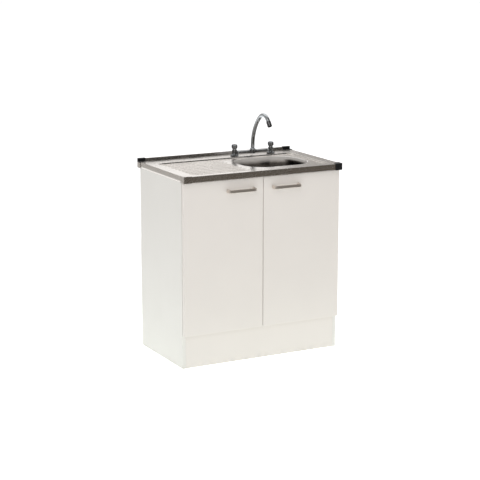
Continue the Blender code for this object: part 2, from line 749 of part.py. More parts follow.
def make_hinge_cup(name, side, z):
    """A cup let into the door's back, with its ears and the pivot pin across it."""
    place = hinge_place(side)
    mouth = DOOR_GAP - SEAT_GAP
    lip = mouth - CUP_FLANGE
    floor = mouth + CUP_DEPTH
    inside = CUP_RADIUS - CUP_WALL
    bm = lathe_mesh([(0, floor), (CUP_RADIUS, floor), (CUP_RADIUS, mouth), (CUP_FLANGE_RADIUS, mouth),
                     (CUP_FLANGE_RADIUS, lip), (inside, lip), (inside, floor - CUP_WALL),
                     (0, floor - CUP_WALL)], ROUND)
    turn = Matrix.Rotation(math.radians(90), 4, "X")
    bm.transform(Matrix.Translation((*place(CUP_U, 0), z)) @ turn)
    cup = add_piece(name, bm, "nickel", smooth=True)

    ear = box_mesh((-CUP_EAR_WIDTH / 2, -mouth, -CUP_EAR_LENGTH / 2),
                   (CUP_EAR_WIDTH / 2, -lip, CUP_EAR_LENGTH / 2))
    ear.transform(Matrix.Translation((*place(CUP_EAR_U, 0), z)))
    combine(cup, add_piece(f"{name}_ears", ear, "nickel"), "UNION")
    well = prism_mesh(circle((0, 0), inside, ROUND), 0, floor - CUP_WALL)
    well.transform(Matrix.Translation((*place(CUP_U, 0), z)) @ turn)
    combine(cup, add_piece(f"{name}_well", well, "nickel"), "DIFFERENCE")

    pin_mesh = prism_mesh(circle(place(PIVOT_U, DOOR_GAP + PIVOT_BEHIND_FACE), PIN_RADIUS, HOLE_ROUND),
                          z - CUP_RADIUS, z + CUP_RADIUS)
    pin = add_piece(f"{name}_pin", pin_mesh, "nickel")
    reach = prism_mesh(circle((0, 0), CUP_RADIUS - CUP_WALL / 2, ROUND), 0, floor)
    reach.transform(Matrix.Translation((*place(CUP_U, 0), z)) @ turn)
    combine(pin, add_piece(f"{name}_reach", reach, "nickel"), "INTERSECT")
    combine(cup, pin, "UNION")
    return cup


def neck_outline():
    """The goose-neck strap from the pivot to the arm, as (U, V) points round its edge."""
    half = NECK_WIDTH / 2
    v = DOOR_GAP + PIVOT_BEHIND_FACE
    bend_u = PIVOT_U + NECK_REACH
    bend_v = v - NECK_TURN
    wide, tight = NECK_TURN + half, NECK_TURN - half
    steps = [math.radians(90 * i / BEND_STEPS) for i in range(BEND_STEPS + 1)]
    outer = [(bend_u + wide * math.sin(t), bend_v + wide * math.cos(t)) for t in steps]
    inner = [(bend_u + tight * math.sin(t), bend_v + tight * math.cos(t)) for t in steps]
    end = -ARM_START - ARM_BEVEL - NECK_WIDTH
    tail = [(bend_u + wide, end), (bend_u + tight, end)]
    return [(PIVOT_U, v + half), *outer, *tail, *reversed(inner), (PIVOT_U, v - half)]


def make_hinge_arm(name, side, z):
    """A strap with its knuckle in the cup and a body on the mounting plate."""
    place = hinge_place(side)
    panel = SIDE_INNER - SEAT_GAP - PLATE_THICKNESS - SEAT_GAP
    near, far = sorted((side * panel, side * (panel - ARM_THICKNESS)))
    front = CARCASS_FRONT + ARM_START
    bar = box_mesh((near, front, z - ARM_HEIGHT / 2), (far, front + ARM_LENGTH, z + ARM_HEIGHT / 2))
    arm = add_piece(name, bar, "nickel")
    round_edges(arm, ARM_BEVEL)
    low, high = z - KNUCKLE_LENGTH / 2, z + KNUCKLE_LENGTH / 2
    neck = prism_mesh([place(u, v) for u, v in neck_outline()], low, high)
    combine(arm, add_piece(f"{name}_neck", neck, "nickel"), "UNION")
    pivot = place(PIVOT_U, DOOR_GAP + PIVOT_BEHIND_FACE)
    bore = PIN_RADIUS + RUNNING_GAP
    knuckle = prism_mesh(circle(pivot, bore + KNUCKLE_WALL, SMALL_ROUND), low, high)
    combine(arm, add_piece(f"{name}_knuckle", knuckle, "nickel"), "UNION")
    hole = prism_mesh(circle(pivot, bore, SMALL_ROUND), low - KNUCKLE_LENGTH, high + KNUCKLE_LENGTH)
    combine(arm, add_piece(f"{name}_bore", hole, "nickel"), "DIFFERENCE")


def make_hinge_plate(name, side, z):
    """A winged plate on the side panel."""
    start = CARCASS_FRONT + PLATE_START
    middle = start + PLATE_LENGTH / 2
    half, waist, tall = PLATE_LENGTH / 2, PLATE_WAIST / 2, PLATE_HEIGHT / 2
    outline = [(-half, -waist), (-waist, -waist), (-waist, -tall), (waist, -tall),
               (waist, -waist), (half, -waist), (half, waist), (waist, waist),
               (waist, tall), (-waist, tall), (-waist, waist), (-half, waist)]
    bm = prism_mesh(outline, 0, PLATE_THICKNESS)
    foot = side * (SIDE_INNER - SEAT_GAP)
    bm.transform(Matrix(((0, 0, -side, foot), (1, 0, 0, middle), (0, 1, 0, z), (0, 0, 0, 1))))
    bmesh.ops.recalc_face_normals(bm, faces=bm.faces)
    add_piece(name, bm, "nickel")


def make_door(side_name, side):
    """A door panel bored for its hinge cups, its handle and its hinges."""
    faces = sorted((side * DOOR_SPLIT / 2, side * DOOR_OUTER))
    panel = box_mesh((faces[0], CARCASS_FRONT - DOOR_FACE, DOOR_BOTTOM),
                     (faces[1], CARCASS_FRONT - DOOR_GAP, DOOR_TOP))
    door = add_piece(f"door_{side_name}", panel, "melamine")
    round_edges(door, DOOR_EDGE, 2)
    moving = [door, make_handle(side_name, side)]
    place = hinge_place(side)
    turn = Matrix.Rotation(math.radians(90), 4, "X")
    for level, z in hinge_heights():
        name = f"{side_name}_{level}"
        bore = prism_mesh(circle((0, 0), CUP_RADIUS + SEAT_GAP, ROUND),
                          DOOR_GAP - CUP_FLANGE, DOOR_GAP + CUP_DEPTH)
        bore.transform(Matrix.Translation((*place(CUP_U, 0), z)) @ turn)
        combine(door, add_piece(f"cup_bore_{name}", bore, "melamine"), "DIFFERENCE")
        moving.append(make_hinge_cup(f"hinge_cup_{name}", side, z))
        make_hinge_arm(f"hinge_arm_{name}", side, z)
        make_hinge_plate(f"hinge_plate_{name}", side, z)
    pivot = place(PIVOT_U, DOOR_GAP + PIVOT_BEHIND_FACE)
    carry(add_axis(f"{side_name}_door_axis", (*pivot, DOOR_BOTTOM)), moving)


def pillar_profile():
    """From the foot of the threaded shank up to the valve seat."""
    shank = RIM_HEIGHT - TAP_BASE - SHANK_DROP
    flare = (PILLAR_FLANGE - PILLAR_RADIUS) * FLARE_SHARE
    return [(0, shank), (SHANK_RADIUS, shank), (SHANK_RADIUS, 0), (PILLAR_FLANGE, 0),
            (PILLAR_FLANGE, PILLAR_FOOT),
            (PILLAR_RADIUS + flare, PILLAR_FOOT + PILLAR_FLARE * FLARE_SHARE),
            (PILLAR_RADIUS, PILLAR_FOOT + PILLAR_FLARE), (PILLAR_RADIUS, PILLAR_HEIGHT - TURNED_EDGE),
            (PILLAR_RADIUS - TURNED_EDGE, PILLAR_HEIGHT), (0, PILLAR_HEIGHT)]


def make_tap_body():
    """Two pillars, the bridge between them and the boss that the spout turns in."""
    half = TAP_CENTRES / 2
    bm = prism_mesh(circle((0, 0), BRIDGE_RADIUS, SMALL_ROUND), -half, half)
    across = Matrix.Rotation(math.radians(90), 4, "Y")
    bm.transform(Matrix.Translation((TAP_CENTRE_X, TAP_Y, TAP_BASE + BRIDGE_HEIGHT)) @ across)
    body = add_piece("tap_body", bm, "chrome", smooth=True)
    for name, side in (("left", -1), ("right", 1)):
        pillar = lathe_mesh(pillar_profile(), ROUND, (TAP_CENTRE_X + side * half, TAP_Y, TAP_BASE))
        combine(body, add_piece(f"tap_pillar_{name}", pillar, "chrome", smooth=True), "UNION")
    boss = lathe_mesh([(0, BOSS_UNDER), (BOSS_RADIUS - BOSS_CHAMFER, BOSS_UNDER),
                       (BOSS_RADIUS, BOSS_UNDER + BOSS_CHAMFER), (BOSS_RADIUS, BOSS_HEIGHT),
                       (0, BOSS_HEIGHT)], ROUND, (TAP_CENTRE_X, TAP_Y, TAP_BASE))
    combine(body, add_piece("tap_boss", boss, "chrome", smooth=True), "UNION")
    socket = prism_mesh(circle((TAP_CENTRE_X, TAP_Y), SPOUT_RADIUS + RUNNING_GAP, ROUND),
                        BOSS_TOP - SOCKET_DEPTH, BOSS_TOP + SOCKET_DEPTH)
    combine(body, add_piece("spout_socket", socket, "chrome"), "DIFFERENCE")


def make_tap_fittings():
    """Washer, backnut, bonnet and turning knob at each pillar."""
    for name, side in (("hot", -1), ("cold", 1)):
        x = TAP_CENTRE_X + side * TAP_CENTRES / 2
        bore = SHANK_RADIUS + RUNNING_GAP
        washer = lathe_mesh([(bore, 0), (WASHER_RADIUS, 0), (WASHER_RADIUS, WASHER), (bore, WASHER)], ROUND,
                            (x, TAP_Y, RIM_HEIGHT + SEAT_GAP))
        add_piece(f"tap_washer_{name}", washer, "rubber", smooth=True)
        nut = lathe_mesh([(bore, -BACKNUT), (BACKNUT_RADIUS, -BACKNUT), (BACKNUT_RADIUS, 0), (bore, 0)],
                         HOLE_ROUND, (x, TAP_Y, RIM_HEIGHT - SHEET - SEAT_GAP))
        add_piece(f"tap_backnut_{name}", nut, "brass", smooth=True)
        bonnet = lathe_mesh([(0, 0), (BONNET_RADIUS, 0), (BONNET_RADIUS, BONNET_HEIGHT - TURNED_EDGE),
                             (BONNET_RADIUS - TURNED_EDGE, BONNET_HEIGHT), (SPINDLE_RADIUS, BONNET_HEIGHT),
                             (SPINDLE_RADIUS, BONNET_HEIGHT + SPINDLE_HEIGHT),
                             (0, BONNET_HEIGHT + SPINDLE_HEIGHT)], SMALL_ROUND,
                            (x, TAP_Y, PILLAR_TOP + SEAT_GAP))
        add_piece(f"tap_bonnet_{name}", bonnet, "chrome", smooth=True)

        foot = PILLAR_TOP + SEAT_GAP + BONNET_HEIGHT + SEAT_GAP
        hole = SPINDLE_RADIUS + RUNNING_GAP
        deep = SPINDLE_HEIGHT + RUNNING_GAP
        grip = [(KNOB_RADIUS * out, KNOB_HEIGHT * up) for out, up in KNOB_SHAPE]
        profile = [(0, deep), (hole, deep), (hole, 0), *grip, (0, KNOB_HEIGHT)]
        waist = range(4, 8)
        knob = lathe_mesh(profile, FINE_ROUND, (x, TAP_Y, foot), KNOB_LOBES, KNOB_LOBE_DEPTH, waist)
        index = lathe_mesh([(0, SEAT_GAP), (INDEX_RADIUS, SEAT_GAP),
                            (INDEX_RADIUS, INDEX_HEIGHT - INDEX_EDGE),
                            (INDEX_RADIUS - INDEX_EDGE, INDEX_HEIGHT), (0, INDEX_HEIGHT)], SMALL_ROUND,
                           (x, TAP_Y, foot + KNOB_HEIGHT))
        moving = [add_piece(f"tap_knob_{name}", knob, "chrome", smooth=True),
                  add_piece(f"tap_index_{name}", index, "chrome", smooth=True)]
        carry(add_axis(f"{name}_knob_axis", (x, TAP_Y, foot)), moving)


def spout_path():
    """(Forward, up) points of the tube: a rise, a wide sweep forward, a tight crook and a straight tip."""
    points = [(0.0, -SOCKET_DEPTH + SEAT_GAP), (0.0, SPOUT_RISE)]
    for i in range(1, SWEEP_STEPS + 1):
        angle = SPOUT_SWEEP * i / SWEEP_STEPS
        points.append((SPOUT_SWEEP_RADIUS * (1 - math.cos(angle)),
                       SPOUT_RISE + SPOUT_SWEEP_RADIUS * math.sin(angle)))
    forward, up = points[-1]
    for i in range(1, CROOK_STEPS + 1):
        angle = SPOUT_SWEEP + SPOUT_CROOK * i / CROOK_STEPS
        points.append((forward + SPOUT_CROOK_RADIUS * (math.cos(SPOUT_SWEEP) - math.cos(angle)),
                       up + SPOUT_CROOK_RADIUS * (math.sin(angle) - math.sin(SPOUT_SWEEP))))
    forward, up = points[-1]
    points.append((forward + SPOUT_TIP * math.sin(angle), up + SPOUT_TIP * math.cos(angle)))
    return points, angle


def make_spout():
    """The swan neck, its nozzle and the nut that holds it in the boss."""
    points, angle = spout_path()
    path = [Vector((TAP_CENTRE_X, TAP_Y - forward, BOSS_TOP + up)) for forward, up in points]
    section = circle((0, 0), SPOUT_RADIUS, SMALL_ROUND)
    tube = sweep_mesh(path, section, lambda ahead: Vector((0, -ahead.z, ahead.y)), Vector((1, 0, 0)))
    spout = add_piece("spout", tube, "chrome", smooth=True)

    lap, end = -NOZZLE_LAP, NOZZLE_LENGTH - NOZZLE_LAP
    hole = SPOUT_RADIUS + SEAT_GAP
    profile = [(0, SEAT_GAP), (hole, SEAT_GAP), (hole, lap), (NOZZLE_RADIUS - TURNED_EDGE, lap),
               (NOZZLE_RADIUS, lap + TURNED_EDGE), (NOZZLE_RADIUS, end - TURNED_EDGE),
               (NOZZLE_RADIUS - TURNED_EDGE, end), (NOZZLE_MOUTH, end), (NOZZLE_MOUTH, end - NOZZLE_RECESS),
               (0, end - NOZZLE_RECESS)]
    nozzle_mesh = lathe_mesh(profile, ROUND)
    nozzle_mesh.transform(Matrix.Translation(path[-1]) @ Matrix.Rotation(angle, 4, "X"))
    nozzle = add_piece("spout_nozzle", nozzle_mesh, "chrome", smooth=True)
    carry(add_axis("spout_axis", (TAP_CENTRE_X, TAP_Y, BOSS_TOP)), [spout, nozzle])

    bore = SPOUT_RADIUS + RUNNING_GAP
    nut = lathe_mesh([(bore, 0), (SPOUT_NUT_RADIUS, 0),
                      (SPOUT_NUT_RADIUS, SPOUT_NUT_HEIGHT - SPOUT_NUT_CHAMFER),
                      (SPOUT_NUT_RADIUS - SPOUT_NUT_CHAMFER, SPOUT_NUT_HEIGHT), (bore, SPOUT_NUT_HEIGHT)],
                     ROUND, (TAP_CENTRE_X, TAP_Y, BOSS_TOP + SEAT_GAP))
    add_piece("spout_nut", nut, "chrome", smooth=True)


def make_waste():
    """The steel basket waste in the bowl's floor, clamped from below."""
    centre = (BOWL_CENTRE_X, BOWL_CENTRE_Y, SEAT_HEIGHT)
    rim_low = SEAT_GAP
    rim_top = rim_low + WASTE_RIM
    wall = WASTE_CUP_RADIUS - WASTE_WALL
    floor = -WASTE_CUP_DEPTH
    cup = lathe_mesh([(wall, rim_top), (WASTE_RIM_RADIUS - WASTE_RIM, rim_top), (WASTE_RIM_RADIUS, rim_low),
                      (WASTE_CUP_RADIUS, rim_low), (WASTE_CUP_RADIUS, floor), (WASTE_OUTLET, floor),
                      (WASTE_OUTLET, floor + WASTE_WALL), (wall, floor + WASTE_WALL)], FINE_ROUND, centre)
    add_piece("waste_cup", cup, "steel", smooth=True)
    under = -SHEET - SEAT_GAP
    bore = WASTE_CUP_RADIUS + SEAT_GAP
    gasket = lathe_mesh([(bore, under), (GASKET_RADIUS, under), (GASKET_RADIUS, under - GASKET),
                         (bore, under - GASKET)], FINE_ROUND, centre)
    add_piece("waste_gasket", gasket, "rubber", smooth=True)
    nut_top = under - GASKET - SEAT_GAP
    nut = lathe_mesh([(bore, nut_top), (WASTE_NUT_RADIUS, nut_top), (WASTE_NUT_RADIUS, nut_top - WASTE_NUT),
                      (bore, nut_top - WASTE_NUT)], FINE_ROUND, centre, NUT_LOBES, NUT_GRIP, (1, 2))
    add_piece("waste_nut", nut, "white_plastic", smooth=True)


def make_strainer():
    """A lift-out basket with a pull knob, pierced in its floor."""
    centre = (BOWL_CENTRE_X, BOWL_CENTRE_Y, SEAT_HEIGHT)
    outside = WASTE_CUP_RADIUS - WASTE_WALL - BASKET_GAP
    inside = outside - BASKET_WALL
    low = -WASTE_CUP_DEPTH + WASTE_WALL + SEAT_GAP
    floor = low + BASKET_WALL
    top = low + BASKET_DEPTH
    knob = top - BASKET_KNOB_BELOW_RIM
    grip = knob - BASKET_KNOB_HEIGHT
    profile = [(0, low), (outside - BASKET_CURVE, low), (outside, low + BASKET_CURVE), (outside, top),
               (inside, top), (inside, floor + BASKET_CURVE), (inside - BASKET_CURVE, floor),
               (BASKET_STEM, floor), (BASKET_STEM, grip), (BASKET_KNOB, grip + BASKET_KNOB_HEIGHT / 2),
               (BASKET_KNOB, knob - BASKET_KNOB_EDGE), (BASKET_KNOB - BASKET_KNOB_EDGE, knob), (0, knob)]
    basket = add_piece("strainer_basket", lathe_mesh(profile, ROUND, centre), "steel", smooth=True)
    holes = bmesh.new()
    radius = (BASKET_STEM + inside) / 2
    for x, y in circle(centre[:2], radius, BASKET_HOLES):
        outline = circle((x, y), BASKET_HOLE, PIERCED_ROUND)
        ends = (SEAT_HEIGHT + low - BASKET_WALL, SEAT_HEIGHT + floor + BASKET_WALL)
        rings = [ring(holes, at_height(outline, z)) for z in ends]
        bridge(holes, *rings)
        for loop in rings:
            holes.faces.new(loop)
    bmesh.ops.recalc_face_normals(holes, faces=holes.faces)
    combine(basket, add_piece("basket_holes", holes, "steel"), "DIFFERENCE")
    carry(add_axis("strainer_axis", centre), [basket])


def make_trap():
    """Tail pipe, bottle trap and the outlet pipe through the open back."""
    x, y = BOWL_CENTRE_X, BOWL_CENTRE_Y
    tail_top = SEAT_HEIGHT - WASTE_CUP_DEPTH - SEAT_GAP
    tail = lathe_mesh([(0, 0), (TAIL_FLANGE_RADIUS, 0), (TAIL_FLANGE_RADIUS, -TAIL_FLANGE),
                       (TAIL_RADIUS, -TAIL_FLANGE - TAIL_TAPER), (TAIL_RADIUS, -TAIL_LENGTH),
                       (0, -TAIL_LENGTH)], ROUND, (x, y, tail_top))
    add_piece("waste_tail", tail, "white_plastic", smooth=True)

    trap_top = tail_top - TAIL_LENGTH - SEAT_GAP
    shoulder = -TRAP_NECK_HEIGHT - TRAP_SHOULDER
    trap = lathe_mesh([(0, 0), (TRAP_NECK, 0), (TRAP_NECK, -TRAP_NECK_HEIGHT), (TRAP_RADIUS, shoulder),
                       (TRAP_RADIUS, -TRAP_HEIGHT), (0, -TRAP_HEIGHT)], ROUND, (x, y, trap_top))
    body = add_piece("trap_body", trap, "white_plastic", smooth=True)
    outlet_z = trap_top - TRAP_OUTLET_DROP
    outlet_end = y + TRAP_OUTLET_REACH
    backwards = Matrix.Rotation(math.radians(-90), 4, "X")
    spigot = prism_mesh(circle((0, 0), TRAP_OUTLET_RADIUS, ROUND), 0, TRAP_OUTLET_REACH)
    spigot.transform(Matrix.Translation((x, y, outlet_z)) @ backwards)
    combine(body, add_piece("trap_spigot", spigot, "white_plastic", smooth=True), "UNION")

    bore = TAIL_RADIUS + SEAT_GAP
    nut = lathe_mesh([(bore, 0), (TRAP_NUT_RADIUS, 0), (TRAP_NUT_RADIUS, TRAP_NUT), (bore, TRAP_NUT)],
                     FINE_ROUND, (x, y, trap_top + SEAT_GAP), NUT_LOBES, NUT_GRIP, (1, 2))
    add_piece("trap_nut", nut, "white_plastic", smooth=True)

    cup_floor = -TRAP_HEIGHT - SEAT_GAP
    cup_low = cup_floor - TRAP_CUP_BASE
    cup_top = cup_low + TRAP_CUP_HEIGHT
    cup_bore = TRAP_RADIUS + SEAT_GAP
    cup = lathe_mesh([(0, cup_low), (TRAP_CUP_RADIUS - TRAP_CUP_BASE, cup_low),
                      (TRAP_CUP_RADIUS, cup_low + TRAP_CUP_BASE), (TRAP_CUP_RADIUS, cup_top),
                      (cup_bore, cup_top), (cup_bore, cup_floor), (0, cup_floor)], FINE_ROUND,
                     (x, y, trap_top), NUT_LOBES, NUT_GRIP / 2, (2, 3))
    add_piece("trap_cup", cup, "white_plastic", smooth=True)

    start = outlet_end + SEAT_GAP
    length = CARCASS_BACK + PIPE_BEHIND_CARCASS - start
    pipe = lathe_mesh([(PIPE_RADIUS - PIPE_WALL, 0), (PIPE_RADIUS, 0), (PIPE_RADIUS, length),
                       (PIPE_RADIUS - PIPE_WALL, length)], ROUND)
    pipe.transform(Matrix.Translation((x, start, outlet_z)) @ backwards)
    add_piece("outlet_pipe", pipe, "white_plastic", smooth=True)
    collar = PIPE_RADIUS + SEAT_GAP
    half = TRAP_NUT / 2
    outlet_nut = lathe_mesh([(collar, -half), (TRAP_NUT_RADIUS, -half), (TRAP_NUT_RADIUS, half),
                             (collar, half)], FINE_ROUND, (0, 0, 0), NUT_LOBES, NUT_GRIP, (1, 2))
    outlet_nut.transform(Matrix.Translation((x, outlet_end, outlet_z)) @ backwards)
    add_piece("outlet_nut", outlet_nut, "white_plastic", smooth=True)


def main():
    clear_scene()
    make_carcass()
    make_buffers()
    make_sink_top()
    make_corner_caps()
    for side_name, side in (("left", -1), ("right", 1)):
        make_door(side_name, side)
    make_tap_body()
    make_tap_fittings()
    make_spout()
    make_waste()
    make_strainer()
    make_trap()


main()
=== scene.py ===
"""Looks of the kitchen sink cabinet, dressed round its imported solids.

Metres, in the frame of the solids: +Z up, +X to the right seen from the front, +Y towards the wall.
Every mesh carries its place in its vertices, so a texture's coordinates are the frame's own.
"""

from __future__ import annotations

import functools
import logging
import math
from dataclasses import dataclass, field
from enum import Enum
from typing import Callable, Iterable, Mapping, Optional, Sequence, Union

import bmesh
import bpy
from mathutils import Matrix, Vector


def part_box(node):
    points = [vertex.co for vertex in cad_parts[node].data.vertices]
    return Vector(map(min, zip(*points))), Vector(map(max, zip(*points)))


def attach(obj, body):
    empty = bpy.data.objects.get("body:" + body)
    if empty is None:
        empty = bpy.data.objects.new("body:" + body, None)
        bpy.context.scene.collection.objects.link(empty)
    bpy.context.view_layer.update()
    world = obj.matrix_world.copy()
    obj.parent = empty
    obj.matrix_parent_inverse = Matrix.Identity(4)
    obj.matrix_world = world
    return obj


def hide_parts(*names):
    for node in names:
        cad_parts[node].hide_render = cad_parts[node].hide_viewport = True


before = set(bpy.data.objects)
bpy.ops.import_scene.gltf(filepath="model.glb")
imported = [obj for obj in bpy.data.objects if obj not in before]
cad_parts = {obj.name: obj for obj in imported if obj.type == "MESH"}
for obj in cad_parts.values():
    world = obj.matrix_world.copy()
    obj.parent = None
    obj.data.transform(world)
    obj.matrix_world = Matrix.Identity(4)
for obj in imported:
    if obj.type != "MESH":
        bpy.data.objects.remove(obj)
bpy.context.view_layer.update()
LOG = logging.getLogger("sink_cabinet")

Colour = tuple[float, float, float]
Flat = tuple[float, float]
Corner = tuple[float, float, float]
Line = list[Flat]
Loop = list[bmesh.types.BMVert]
Wave = Callable[[int, float], float]

BLACK: Colour = (0.0, 0.0, 0.0)


class Body(str, Enum):
    """The moving groups of the solids."""

    CABINET = "cabinet"
    LEFT_DOOR = "left_door"
    RIGHT_DOOR = "right_door"
    SPOUT = "swivel_spout"
    HOT = "hot_knob"
    COLD = "cold_knob"
    STRAINER = "strainer"


class Slot(str, Enum):
    """The record's material slots."""

    MELAMINE = "melamine"
    HARDBOARD = "hardboard"
    STEEL = "steel"
    CHROME = "chrome"
    HANDLE = "handle_metal"
    NICKEL = "nickel"
    BLACK = "black_plastic"
    RUBBER = "rubber"
    WHITE = "white_plastic"
    BRASS = "brass"


class Side(Enum):
    """Left and right of the cabinet, with the sign of X and the door's body."""

    LEFT = ("left", -1, Body.LEFT_DOOR)
    RIGHT = ("right", 1, Body.RIGHT_DOOR)

    def __init__(self, word: str, sign: int, body: Body) -> None:
        """Keeps what a side has by name.

        Args:
            word: The side's word in the names of pieces.
            sign: The sign of X there.
            body: The body of its door.
        """
        self.word = word
        self.sign = sign
        self.body = body


class Level(Enum):
    """The heights of a door's two hinges and two buffers."""

    UPPER = "upper"
    LOWER = "lower"


class Supply(Enum):
    """The tap's two valves, with the body of each one's knob."""

    HOT = ("hot", Body.HOT)
    COLD = ("cold", Body.COLD)

    def __init__(self, word: str, body: Body) -> None:
        """Keeps a valve's word and its knob's body by name."""
        self.word = word
        self.body = body


class Join(Enum):
    """What a helper form does to the form that it meets."""

    ADD = "UNION"
    CUT = "DIFFERENCE"


class Way(Enum):
    """Where a form's axis points: an angle from upright, and the axis that it turns about."""

    UP = (0, "X")
    BACK = (-90, "X")
    FRONT = (90, "X")
    RIGHT = (90, "Y")
    LEFT = (-90, "Y")

    def at(self, x: float, y: float, z: float) -> Matrix:
        """A place whose axis points this way."""
        angle, axis = self.value
        return Matrix.Translation((x, y, z)) @ Matrix.Rotation(math.radians(angle), 4, axis)


class Value:
    """A shader socket that takes part in Python arithmetic."""

    def __init__(self, shader: Shader, socket: bpy.types.NodeSocket) -> None:
        """Wraps an output socket of a shader's tree."""
        self.shader = shader
        self.socket = socket

    def _math(self, operation: str, first: Number, second: Number) -> Value:
        """The result of a Math node on two values."""
        return self.shader.node("ShaderNodeMath", {"operation": operation}, {0: first, 1: second})

    def __add__(self, other: Number) -> Value:
        """The sum."""
        return self._math("ADD", self, other)

    def __radd__(self, other: Number) -> Value:
        """The sum, the other way round."""
        return self._math("ADD", other, self)

    def __sub__(self, other: Number) -> Value:
        """The difference."""
        return self._math("SUBTRACT", self, other)

    def __rsub__(self, other: Number) -> Value:
        """The difference, the other way round."""
        return self._math("SUBTRACT", other, self)

    def __mul__(self, other: Number) -> Value:
        """The product."""
        return self._math("MULTIPLY", self, other)

    def __rmul__(self, other: Number) -> Value:
        """The product, the other way round."""
        return self._math("MULTIPLY", other, self)

    def __abs__(self) -> Value:
        """The size without the sign."""
        return self._math("ABSOLUTE", self, 0.0)

    def rise(self, low: float, high: float) -> Value:
        """A smooth step from 0 at low and under to 1 at high and over."""
        return self.shader.node("ShaderNodeMapRange", {"interpolation_type": "SMOOTHSTEP"},
                                {"Value": self, "From Min": low, "From Max": high})

    def part(self, axis: int) -> Value:
        """One part of a vector: 0 for X, 1 for Y and 2 for Z."""
        return self.shader.node("ShaderNodeSeparateXYZ", {}, {0: self}, axis)


Number = Union[float, Value]
Given = Union[float, Sequence[float], Value]


class Shader:
    """The node tree of one material."""

    def __init__(self, name: str) -> None:
        """Starts a material with its Principled shader.

        Args:
            name: The material's name.
        """
        self.material = bpy.data.materials.new(name)
        self.material.use_nodes = True
        self.tree = self.material.node_tree
        self.surface = self.tree.nodes["Principled BSDF"]
        self.place = self.node("ShaderNodeTexCoord", output="Object")
        self.facing = self.node("ShaderNodeTexCoord", output="Normal")

    def node(self, kind: str, settings: Optional[Mapping] = None, inputs: Optional[Mapping] = None,
             output: Union[int, str] = 0) -> Value:
        """Adds any node.

        Args:
            kind: The node's type.
            settings: Its settings by name, which are set first.
            inputs: The values or links of its sockets, by name or number.
            output: The socket that is wanted from it.

        Returns:
            That output socket.
        """
        made = self.tree.nodes.new(kind)
        for key, setting in (settings or {}).items():
            setattr(made, key, setting)
        for key, given in (inputs or {}).items():
            self.feed(made.inputs[key], given)
        return Value(self, made.outputs[output])

    def feed(self, socket: bpy.types.NodeSocket, given: Given) -> None:
        """Links a value to a socket, or sets a plain one on it.

        Args:
            socket: The input socket.
            given: A value of the tree, a number, a vector or a colour.
        """
        if isinstance(given, Value):
            self.tree.links.new(given.socket, socket)
        elif socket.type == "RGBA":
            socket.default_value = (*given[:3], 1.0)
        else:
            socket.default_value = given

    def dress(self, **given: Given) -> None:
        """Feeds the Principled shader.

        Args:
            **given: What its sockets get, by their names in small letters with underscores.
        """
        sockets = {socket.name.lower().replace(" ", "_"): socket for socket in self.surface.inputs}
        for key, value in given.items():
            self.feed(sockets[key], value)

    def scaled(self, scale: Sequence[float]) -> Value:
        """The place on the object, multiplied along each axis."""
        return self.node("ShaderNodeVectorMath", {"operation": "MULTIPLY"}, {0: self.place, 1: scale})

    def away(self, centre: Corner = (0.0, 0.0, 0.0)) -> Value:
        """The distance from a point."""
        return self.node("ShaderNodeVectorMath", {"operation": "DISTANCE"}, {0: self.place, 1: centre}, "Value")

    def noise(self, pitch: float, stretch: Sequence[float] = (1, 1, 1), detail: float = 3.0) -> Value:
        """Soft random values.

        Args:
            pitch: The size of a blotch.
            stretch: How often it changes along each axis; under 1 draws it out.
            detail: How many finer layers it has.

        Returns:
            Values about 0.5.
        """
        place = self.scaled([each / pitch for each in stretch])
        return self.node("ShaderNodeTexNoise", {}, {"Vector": place, "Scale": 1.0, "Detail": detail})

    def cells(self, pitch: float) -> Value:
        """Distance from the nearest of many scattered points, in pitches."""
        return self.node("ShaderNodeTexVoronoi", {},
                         {"Vector": self.scaled([1 / pitch] * 3), "Scale": 1.0}, "Distance")

    def mix(self, share: Number, first: Given, second: Given) -> Value:
        """A colour between two: share 0 gives the first and 1 the second."""
        return self.node("ShaderNodeMix", {"data_type": "RGBA"}, {0: share, 6: first, 7: second}, 2)

    def bump(self, height: Value, depth: float) -> None:
        """Gives the surface a relief of a depth in metres."""
        relief = {"Strength": 1.0, "Distance": depth, "Height": height}
        self.dress(normal=self.node("ShaderNodeBump", {}, relief))


def shade(colour: Colour, share: float) -> Colour:
    """Makes a colour darker or lighter.

    Args:
        colour: The colour.
        share: What it is multiplied by.

    Returns:
        The changed colour.
    """
    return tuple(each * share for each in colour)


@dataclass(frozen=True)
class Finish:
    """What every finish has: a name, its slot, a colour and a roughness."""

    name: str
    slot: Slot
    colour: Colour
    roughness: float

    def paint(self, shader: Shader) -> None:
        """Adds the finish's nodes."""
        raise NotImplementedError

    def tones(self, shares: Flat) -> tuple[Colour, Colour]:
        """The finish's colour at two brightnesses."""
        return shade(self.colour, shares[0]), shade(self.colour, shares[1])


@functools.lru_cache(maxsize=None)
def material_of(finish: Finish) -> bpy.types.Material:
    """Makes a finish's material at its first use.

    Args:
        finish: The finish.

    Returns:
        Its material, the same one each time.
    """
    shader = Shader(f"finish_{finish.name}")
    finish.paint(shader)
    return shader.material


